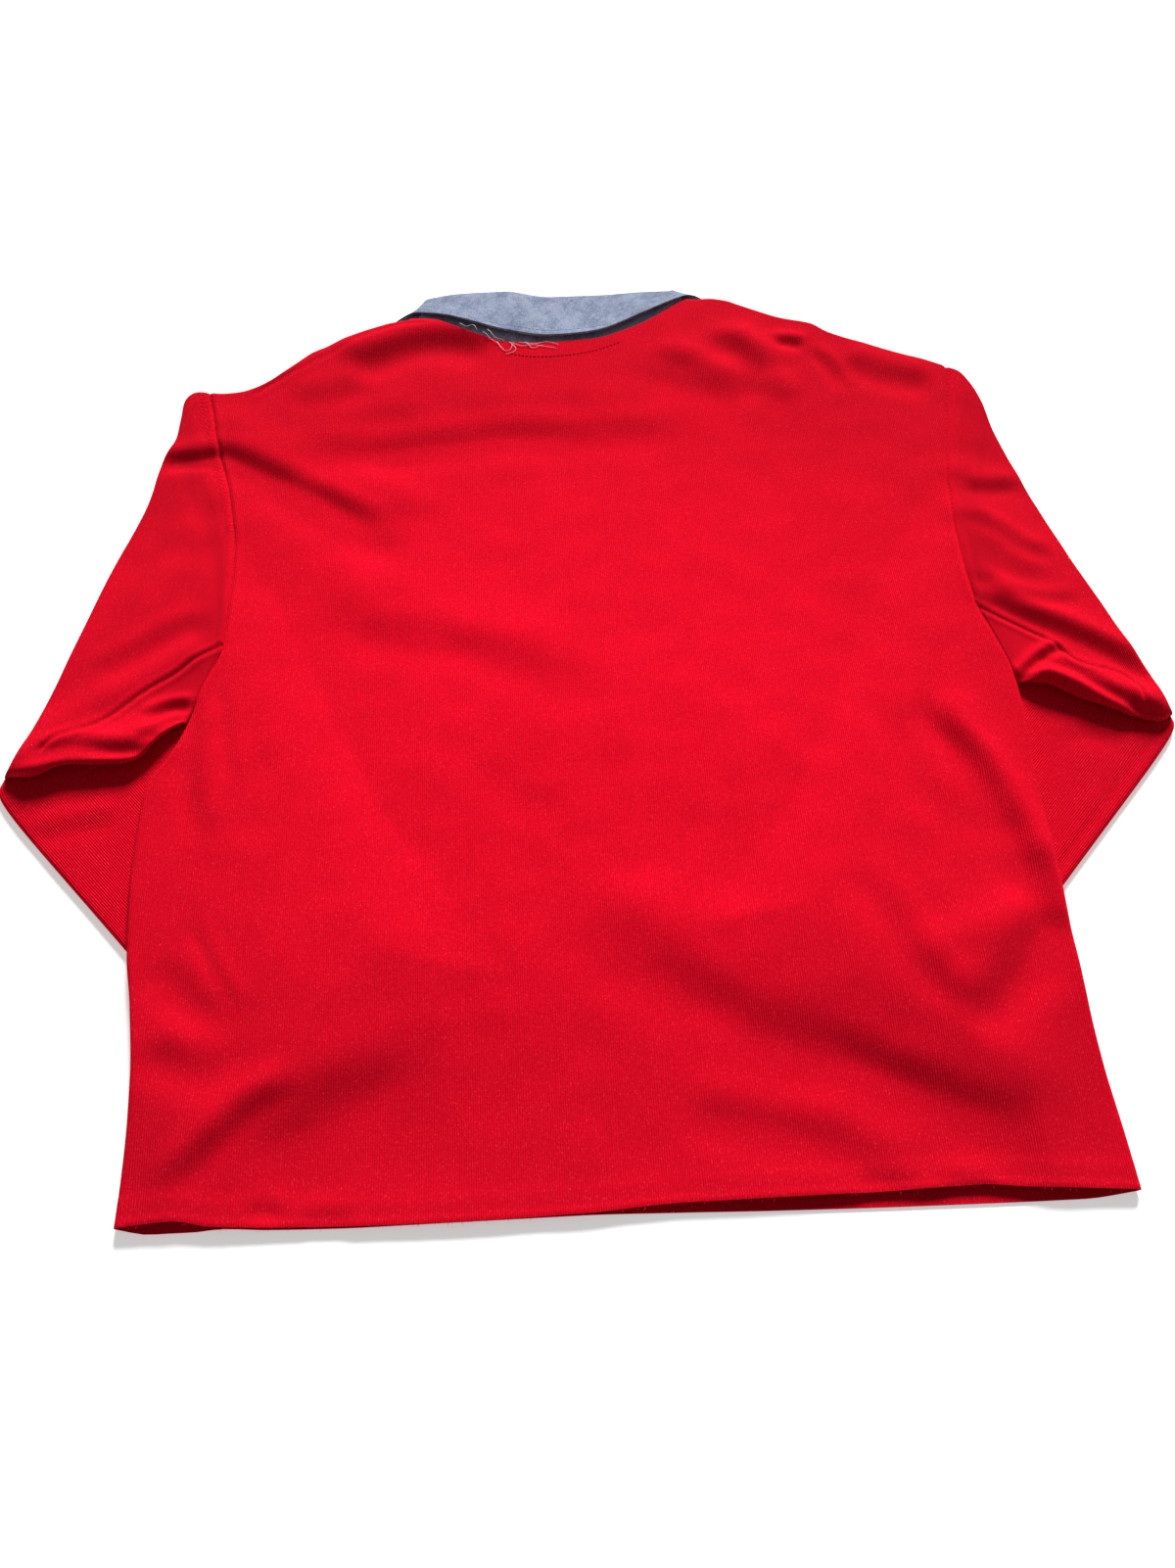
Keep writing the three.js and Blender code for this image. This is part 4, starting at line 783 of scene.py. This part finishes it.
def upper_sleeve(name, sleeve, hole_edge, armpit_y, shoulder_y, side):
    outer, roll, inner = path(sleeve["outer"]), path(sleeve["roll"]), path(sleeve["inner"])
    start_out, start_in = np.array(sleeve["outer"][0], float), np.array(sleeve["inner"][0], float)
    end_out, end_in = np.array(sleeve["roll"][0], float), np.array(sleeve["roll"][-1], float)
    hole_length = shoulder_y - armpit_y
    shares = steps(hole_length, RING_EDGE, SLEEVE_STEP)
    ways = np.concatenate([np.ones(len(shares)), -np.ones(len(shares) - 2)])
    ring = np.concatenate([shares, shares[1:-1][::-1]])
    along = steps(UPPER_SLEEVE_LENGTH, ROLL_EDGE, SLEEVE_STEP)
    s, v = np.meshgrid(ring, along)
    way = np.broadcast_to(ways, s.shape)
    edges = at(inner, v) * s[..., None] + at(outer, v) * (1 - s)[..., None]
    hole_y = lerp(shoulder_y, armpit_y, s)
    hole = np.stack([hole_edge(hole_y) - side * ARMHOLE_TUCK, hole_y], -1)
    ends = hole * (1 - v)[..., None] + at(roll, s) * v[..., None]
    start_line = start_out * (1 - s)[..., None] + start_in * s[..., None]
    end_line = end_out * (1 - s)[..., None] + end_in * s[..., None]
    plan = edges + ends - start_line * (1 - v)[..., None] - end_line * v[..., None]
    x, y = plan[..., 0], plan[..., 1]
    low, high = underside(x, y), topside(x, y, np.where(way > 0, sleeve_extra(x, y), 0))
    half = (high - low) / 2
    width = lerp(np.linalg.norm(start_out - start_in), np.linalg.norm(end_out - end_in), v)
    from_side = roundness(np.minimum(s, 1 - s) * width, half)
    kept = np.where((way > 0) & (s > 0.5), underarm(y, armpit_y), 0)
    from_roll = roundness((1 - v) * UPPER_SLEEVE_LENGTH + ROLL_CAP * half, half)
    reached = np.minimum(np.maximum(from_side, kept), from_roll)
    past_hole = np.where(y > armpit_y, side * (x - hole_edge(y)), ARMHOLE_TUCK * 2)
    tucked = ARMHOLE_TUCK_DEPTH * smooth(1 - past_hole / (ARMHOLE_TUCK * 2))
    z = (low + high) / 2 + way * half * reached
    z = z + np.where(way > 0, (armhole_dip(x, y) - tucked) * reached, 0)
    # The roll's outer end sinks on to the forearm, and its lip overhangs the hollow
    from_tip = np.hypot(x - end_out[0], y - end_out[1])
    z = z - TIP_DROP * np.exp(-(from_tip / TIP_REACH) ** 2) * (1 - reached)
    near_roll = smooth((v - LIP_START) / (1 - LIP_START))
    y = y + np.where(way < 0, LIP_UNDERCUT * near_roll * np.sin(np.pi * s) ** 0.5, 0)
    cloth = np.stack([s * width, v * UPPER_SLEEVE_LENGTH], -1)
    return cloth_wall(name, np.stack([x, y, z], -1), jersey, "jersey", cloth, facing=-1 if side < 0 else 1,
                      wrap=True, zipped=True)


sleeve_left = upper_sleeve(
    "sleeve_left_cloth", SLEEVE_LEFT, left_edge, ARMPIT_LEFT_Y, SHOULDER_LEFT[1], -1)
sleeve_right = upper_sleeve(
    "sleeve_right_cloth", SLEEVE_RIGHT, right_edge, ARMPIT_RIGHT_Y, SHOULDER_RIGHT[1], 1)


# The forearms and cuffs, folded under the elbows
def lying_tube(name, arm, start, end, width_at, thickness, side, material, slot, rib_depth=0.0, crease=0.0):
    half = FOREARM_HEIGHT / 2
    along = start + steps(end - start, TUBE_EDGE, TUBE_STEP) * (end - start)
    widest = max(width_at(start), width_at(end))
    shares = steps(widest, RING_EDGE, RIB_STEP if rib_depth else FOREARM_STEP)
    ways = np.concatenate([np.ones(len(shares)), -np.ones(len(shares) - 2)])
    ring = np.concatenate([shares, shares[1:-1][::-1]])
    s, a = np.meshgrid(ring, along)
    way = np.broadcast_to(ways, s.shape)
    past_tip = np.maximum(0, -a)
    outer = ELBOW_BEND * past_tip ** 2 / (past_tip + ELBOW_ROUND)
    width = np.vectorize(width_at)(a) - outer
    swell = arm["swell"] * np.sin(np.pi * np.clip(a / FOREARM_LENGTH, 0, 1) ** SWELL_SHIFT)
    x, y = forearm_point(arm, a, outer + s * width - swell * (1 - s))
    reached = roundness(np.minimum(s, 1 - s) * width, half)
    from_edge = s * width
    top = rib_depth * (np.cos(from_edge * 2 * np.pi / RIB_PITCH) - 1) / 2
    top = top - crease * np.exp(-((from_edge - EDGE_CREASE_AT) / EDGE_CREASE_WIDTH) ** 2)
    top = top + (0.5 * ripples(x, y) + crease_height(FOREARM_CREASES, x, y)) * reached
    z = half + way * half * reached + np.where(way > 0, top * reached, 0)
    cloth = np.stack([s * width, a], -1)
    return cloth_wall(name, np.stack([x, y, z], -1), material, slot, cloth, thickness=thickness,
                      facing=-1 if side < 0 else 1, wrap=True)


def forearm_width(a):
    return lerp(FOREARM_WIDTHS[0], FOREARM_WIDTHS[1], min(1.0, max(0.0, a / FOREARM_LENGTH)))


CUFF_START = FOREARM_LENGTH + SEAM_GAP


def cuff_width(a):
    return lerp(CUFF_WIDTH + CUFF_TAPER, CUFF_WIDTH, (a - CUFF_START) / CUFF_LENGTH)


def forearm(name, arm, side, crease=0.0):
    return lying_tube(name, arm, -arm["tuck"], FOREARM_LENGTH, forearm_width, WALL, side, jersey, "jersey",
                      crease=crease)


def cuff(name, arm, side):
    return lying_tube(name, arm, CUFF_START, CUFF_START + CUFF_LENGTH, cuff_width, RIB_WALL, side, rib, "rib",
                      rib_depth=RIB_DEPTH)


forearm_left = forearm("forearm_left_cloth", FOREARM_LEFT, -1)
forearm_right = forearm("forearm_right_cloth", FOREARM_RIGHT, 1, EDGE_CREASE)
cuff_left = cuff("cuff_left_rib", FOREARM_LEFT, -1)
cuff_right = cuff("cuff_right_rib", FOREARM_RIGHT, 1)


# The collar. Places along it are counted in rows of COLLAR.
BACK_FROM, BACK_TO, BACK_FADE, BACK_FOLD_RADIUS = 5.6, 12.4, 1.2, 1.9
STITCHED_FROM, STITCHED_TO = 6.3, 11.9
# Bumps and dimples of the leaf: height, place along the collar, width
LEAF_BUMPS = [(1.1, 8.35, 0.55), (-1.3, 9.5, 0.4), (0.5, 10.6, 0.5)]


def collar_values(t):
    table = np.array(COLLAR, float)
    last = len(table) - 1
    k = np.minimum(last - 1, np.floor(t).astype(int))
    f = (t - k)[:, None]
    a, b, c, d = (table[np.clip(k + n, 0, last)] for n in (-1, 0, 1, 2))
    s1 = np.where((b - a) * (c - b) <= 0, 0, (c - a) / 2)
    s2 = np.where((c - b) * (d - c) <= 0, 0, (d - b) / 2)
    f2, f3 = f * f, f * f * f
    return (2 * f3 - 3 * f2 + 1) * b + (f3 - 2 * f2 + f) * s1 + (3 * f2 - 2 * f3) * c + (f3 - f2) * s2


def at_back(t):
    """1 at the back of the neck, 0 where the collar lies under the front."""
    return smooth((t - BACK_FROM) / BACK_FADE) * smooth((BACK_TO - t) / BACK_FADE)


def collar_piece(name, part):
    t = np.linspace(0, len(COLLAR) - 1, (len(COLLAR) - 1) * 10 + 1)
    v = collar_values(t)
    seam, fold, edge, radius = v[:, 0:3], v[:, 3:6].copy(), v[:, 6:9].copy(), v[:, 10]
    back_share = at_back(t)
    edge[:, 2] += back_share * (LEAF_RISE + LEAF_RISE_WAVE * np.sin(t * 2.1))
    way = np.radians(v[:, 9])
    off = np.stack([np.cos(way), 0 * way, np.sin(way)], -1)
    past = (fold - seam) * [1, 1, 0]
    past /= np.linalg.norm(past, axis=1, keepdims=True)

    def turned(degrees):
        a = np.radians(degrees)
        outward = -off * np.cos(a) + past * np.sin(a)
        return fold + outward * radius[:, None], outward
    gap = math.degrees(COLLAR_FOLD_GAP / 2 / BACK_FOLD_RADIUS)
    profile = []
    if part == "stand":
        foot, outward = turned(0)
        for share in np.linspace(1, 0, 12, endpoint=False):
            profile.append((foot + (seam - foot) * share, outward, share))
        for degrees in (0, 20, 40, 60, 75, 90 - gap):
            profile.append((*turned(degrees), 0))
    else:
        for degrees in (90 + gap, 105, 120, 140, 160, 180):
            profile.append((*turned(degrees), 0))
        head, outward = turned(180)
        for share in np.concatenate([np.linspace(0, 0.88, 14)[1:], [0.92, 0.96, 0.985, 1.0]]):
            profile.append((head + (edge - head) * share, outward, share))
    grid = np.stack([points for points, _, _ in profile], 1)
    normals = np.stack([outward for _, outward, _ in profile], 1)
    run = np.array([share for _, _, share in profile])
    thick = np.full(grid.shape[:2], COLLAR_WALL)
    if part == "leaf":
        wave = 0.5 * np.sin(t * 5.3 + 1)
        for height, place, width in LEAF_BUMPS:
            wave = wave + height * np.exp(-((t - place) / width) ** 2)
        grid[..., 2] += (back_share * wave)[:, None] * np.sin(np.pi * np.clip(run, 0, 1)) ** 0.7
        sunk = LEAF_STITCH_DEPTH * np.exp(-((run - LEAF_STITCH_AT) / LEAF_STITCH_WIDTH) ** 2)
        proud = LEAF_EDGE_THICKER * smooth((run - LEAF_EDGE_START) / 0.05)
        thick = thick + back_share[:, None] * (proud - sunk)[None, :]
    else:
        wave = 0.5 * np.sin(t * 7.0) + 0.4 * np.sin(t * 11.0 + 1)
        grid[..., 2] += (back_share * wave)[:, None] * np.sin(np.pi * np.clip(run, 0, 1))
    outer = grid + normals * thick[..., None] / 2
    middle = grid[len(t) // 2]
    cloth = np.stack(np.meshgrid(lengths_along((edge + fold) / 2), lengths_along(middle), indexing="ij"), -1)
    material = stand_painted_light if part == "stand" else collar_cloth
    obj = cloth_wall(name, outer, material, "collar_cloth", cloth, thick[..., None], normals=normals)
    return obj, t, outer


stand, _, _ = collar_piece("collar_stand_cloth", "stand")
leaf, leaf_t, leaf_top = collar_piece("collar_leaf_cloth", "leaf")


# Threads and stitches
def tube(points, radius, sides=5):
    """Vertices and faces of a thin closed tube along the points."""
    p = np.array(points, float)
    tangent = np.gradient(p, axis=0)
    tangent /= np.maximum(np.linalg.norm(tangent, axis=1, keepdims=True), 1e-9)
    up = np.where(np.abs(tangent[:, 2:3]) > 0.9, [[1.0, 0, 0]], [[0, 0, 1.0]])
    one = np.cross(tangent, up)
    one /= np.maximum(np.linalg.norm(one, axis=1, keepdims=True), 1e-9)
    two = np.cross(one, tangent)
    angle = np.linspace(0, 2 * np.pi, sides, endpoint=False)
    radius = np.broadcast_to(np.array(radius, float), (len(p),))[:, None, None]
    ring = one[:, None] * np.cos(angle)[None, :, None] + two[:, None] * np.sin(angle)[None, :, None]
    verts = (p[:, None] + ring * radius).reshape(-1, 3)
    faces = grid_faces(len(p), sides, 0, True, False).tolist()
    faces += [list(range(sides))[::-1], [(len(p) - 1) * sides + k for k in range(sides)]]
    return verts, faces


def join(parts):
    verts, faces, start = [], [], 0
    for v, f in parts:
        verts.append(v)
        faces += [[k + start for k in face] for face in f]
        start += len(v)
    return np.concatenate(verts), faces


def stitch_row(line, height_at):
    """Small stitches along a plan line, each dipping into the cloth at both ends."""
    points, s = path(line, 0.6)
    parts = []
    begin = 0.0
    while begin + NECK_STITCH < s[-1]:
        here = np.linspace(begin, begin + NECK_STITCH, 5)
        x, y = np.interp(here, s, points[:, 0]), np.interp(here, s, points[:, 1])
        z = height_at(x, y) + NECK_STITCH_PROUD - NECK_STITCH_DIP * np.abs(np.linspace(-1, 1, 5)) ** 3
        radii = NECK_STITCH_RADIUS * np.array([0.6, 1, 1, 1, 0.6])
        parts.append(tube(np.stack([x, y, z], -1), radii, 4))
        begin += NECK_STITCH + NECK_STITCH_GAP
    return parts


def sleeve_top(x, y):
    return topside(x, y, sleeve_extra(x, y))


def seam_thread(line, height_at):
    """The closed line of a seam, a thread sunk in its groove."""
    points, s = path(line, 1.2)
    x, y = points[:, 0], points[:, 1]
    z = height_at(x, y) - SEAM_THREAD_SUNK
    ends = np.minimum(1, np.minimum(s, s[-1] - s) / SEAM_THREAD_TAPER)
    return tube(np.stack([x, y, z], -1), SEAM_THREAD_RADIUS * (0.15 + 0.85 * ends), 5)


make_mesh("neck_stitches", *join(stitch_row(NECK_STITCH_LINE, back_surface)), thread_dark, "jersey")
make_mesh("shoulder_seam", *seam_thread(SHOULDER_SEAM, back_surface), thread_red, "jersey")
for side, line in zip(("left", "right"), UNDERARM_SEAMS):
    make_mesh(f"underarm_seam_{side}", *seam_thread(line, sleeve_top), thread_red, "jersey")

# Frayed threads at the neck, where the collar's seam has come open: how far each lifts, and its points
FRAYED = [
    (1.6, [(-65, 715), (-62, 708), (-58, 704), (-54, 705), (-52, 710), (-55, 715)]),
    (1.4, [(-52, 712), (-49, 705), (-53, 701), (-58, 700)]),
    (1.2, [(-53, 714), (-44, 709), (-33, 710), (-24, 707), (-14, 705)]),
    (1.6, [(-77, 724), (-69, 716), (-63, 712)]),
    (1.2, [(-46, 714), (-34, 711), (-22, 713), (-12, 709)]),
    (1.8, [(-97, 735), (-92, 730), (-86, 732), (-82, 726)]),
    (1.5, [(-73, 727), (-66, 719), (-58, 716)]),
    (1.6, [(-41, 714), (-34, 706), (-26, 709)])]


def frayed_threads():
    parts = []
    for lifted, line in FRAYED:
        points, s = path(line, 0.8)
        x, y = points[:, 0], points[:, 1]
        share = s / s[-1]
        z = back_surface(x, y) + 0.2 + lifted * np.sin(np.pi * share) ** 0.6 * (0.6 + 0.4 * np.sin(share * 9))
        parts.append(tube(np.stack([x, y, z], -1), 0.27 - 0.1 * share, 4))
    make_mesh("frayed_threads", *join(parts), thread_pale, "collar_cloth")


def hem_fuzz():
    """Short fibres that stand off the hem's edge."""
    parts = []
    for _ in range(HEM_FIBRES):
        x = rng.uniform(HEM_LEFT[0] + HEM_FIBRE_MARGIN, HEM_RIGHT[0] - HEM_FIBRE_MARGIN)
        y = hem_back(x) + rng.uniform(-0.2, 1.2)
        length = rng.uniform(*HEM_FIBRE_LENGTHS)
        turn, rise = rng.normal(0, 0.7), rng.uniform(-0.3, 1.1)
        t = np.linspace(0, 1, 4)
        reach = length * t
        bend = rng.uniform(-0.8, 0.8) * t ** 2
        start_z = back_surface(np.array([x]), np.array([max(y, hem_back(x) + 0.5)]))[0] - 0.1
        line = np.stack([x + reach * math.sin(turn) + bend, y - reach * math.cos(turn),
                         start_z + rise * reach * 0.5 - 0.4 * t], -1)
        parts.append(tube(line, HEM_FIBRE_RADIUS - 0.05 * t, 3))
    make_mesh("hem_fuzz", *join(parts), fuzz_red, "jersey")


def leaf_topstitch():
    """The stitches along the leaf's thick edge, at the back of the neck."""
    stitched = (leaf_t > STITCHED_FROM) & (leaf_t < STITCHED_TO)
    # Of the leaf's columns this one, fifth from its edge, runs in the row of stitches
    row = leaf_top[stitched][:, -5]
    s = lengths_along(row)
    parts = []
    begin = 1.0
    while begin + LEAF_STITCH < s[-1]:
        here = np.linspace(begin, begin + LEAF_STITCH, 4)
        p = np.stack([np.interp(here, s, row[:, k]) for k in range(3)], -1)
        p[:, 2] += [-0.1, 0.14, 0.14, -0.1]
        parts.append(tube(p, LEAF_STITCH_RADIUS, 4))
        begin += LEAF_STITCH + LEAF_STITCH_GAP
    make_mesh("leaf_stitches", *join(parts), thread_blue, "collar_cloth")


frayed_threads()
hem_fuzz()
leaf_topstitch()


# The placket and its buttons, under the front. A button's turned profile has a rim and a sunk middle: radius
# and height of each point
BUTTON_PROFILE = [
    (0.0, 0.35), (3.4, 0.35), (4.4, 0.05), (5.6, 0.0), (6.2, 0.2), (BUTTON_RADIUS, 0.8), (6.4, 1.5),
    (6.0, BUTTON_THICKNESS), (0.0, BUTTON_THICKNESS)]
BUTTON_SIDES = 40


def placket_strip():
    s, v = np.meshgrid(np.linspace(-1, 1, 17), np.linspace(0, 1, 60))
    x = lerp(PLACKET_TOP[0], PLACKET_BOTTOM[0], v) + s * HALF_PLACKET
    y = lerp(PLACKET_TOP[1], PLACKET_BOTTOM[1], v)
    stitched = 0.12 * np.exp(-((np.abs(s) - 0.86) / 0.05) ** 2)
    z = BUTTON_THICKNESS + SEAM_GAP + stitched
    return cloth_wall("placket_cloth", np.stack([x, y, z], -1), jersey, "jersey", np.stack([x, y], -1),
                      thickness=PLACKET_WALL)


def rubber_material():
    material, tree, shader = new_material("button_rubber", {"Roughness": 0.55})
    g = Graph(tree)
    place = tree.nodes.new("ShaderNodeTexCoord").outputs["Object"]
    mottled = g.mix(g.noise(place, 300.0, 3), (0.62, 0.59, 0.54, 1), (0.72, 0.69, 0.64, 1))
    g.put(shader.inputs["Base Color"], mottled)
    return material


def button(number, material):
    share = (number - 0.5) / BUTTON_COUNT
    centre = np.array([lerp(PLACKET_TOP[0], PLACKET_BOTTOM[0], share),
                       lerp(PLACKET_TOP[1], PLACKET_BOTTOM[1], share), 0])
    angles = [2 * math.pi * n / BUTTON_SIDES for n in range(BUTTON_SIDES)]
    verts = [centre + [r * math.cos(a), r * math.sin(a), z] for r, z in BUTTON_PROFILE for a in angles]
    faces = grid_faces(len(BUTTON_PROFILE), BUTTON_SIDES, 0, True, False).tolist()
    made = make_mesh(f"button_{number}_rubber", verts, faces, material, "button_rubber")
    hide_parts(f"button_{number}")


placket = placket_strip()
rubber = rubber_material()
for number in range(1, BUTTON_COUNT + 1):
    button(number, rubber)

for piece, node in (
        (back, "back_panel"), (front, "front_panel"), (sleeve_left, "sleeve_left_upper"),
        (sleeve_right, "sleeve_right_upper"), (forearm_left, "sleeve_left_forearm"),
        (forearm_right, "sleeve_right_forearm"), (cuff_left, "cuff_left"), (cuff_right, "cuff_right"),
        (stand, "collar_stand"), (leaf, "collar_leaf"), (placket, "placket")):
    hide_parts(node)


# Floor, light and camera
def build_stage():
    mesh = bpy.data.meshes.new("floor")
    mesh.from_pydata([(-4, -4, 0), (4, -4, 0), (4, 4, 0), (-4, 4, 0)], [], [(0, 1, 2, 3)])
    floor = bpy.data.objects.new("floor", mesh)
    bpy.context.scene.collection.objects.link(floor)
    material, _, _ = new_material("floor_white", {
        "Base Color": (0.9, 0.9, 0.9, 1), "Roughness": 1.0, "Specular IOR Level": 0.0,
        "Emission Color": (1, 1, 1, 1), "Emission Strength": 0.4})
    mesh.materials.append(material)


def build_lights():
    world = bpy.data.worlds.new("studio")
    bpy.context.scene.world = world
    world.use_nodes = True
    background = world.node_tree.nodes["Background"]
    background.inputs["Color"].default_value = (1, 1, 1, 1)
    background.inputs["Strength"].default_value = 0.21
    light = bpy.data.lights.new("window", "SUN")
    light.energy = 7.1
    light.angle = 0.3
    lamp = bpy.data.objects.new("window", light)
    bpy.context.scene.collection.objects.link(lamp)
    lamp.location = (1.3, 6.6, 3.7)
    aim = Vector((0.0, 0.0, 0.0)) - lamp.location
    lamp.rotation_euler = aim.to_track_quat("-Z", "Y").to_euler()


def build_camera():
    data = bpy.data.cameras.new("camera")
    data.lens = 27.05
    data.sensor_width = 36.0
    data.clip_start = 0.05
    camera = bpy.data.objects.new("camera", data)
    bpy.context.scene.collection.objects.link(camera)
    camera.location = (-0.0285, -0.417, 0.755)
    forward = Vector((0.02335, 0.4456, -0.8949))
    camera.rotation_euler = forward.to_track_quat("-Z", "Y").to_euler()
    bpy.context.scene.camera = camera


build_stage()
build_lights()
build_camera()
bpy.context.scene.view_settings.view_transform = "Standard"
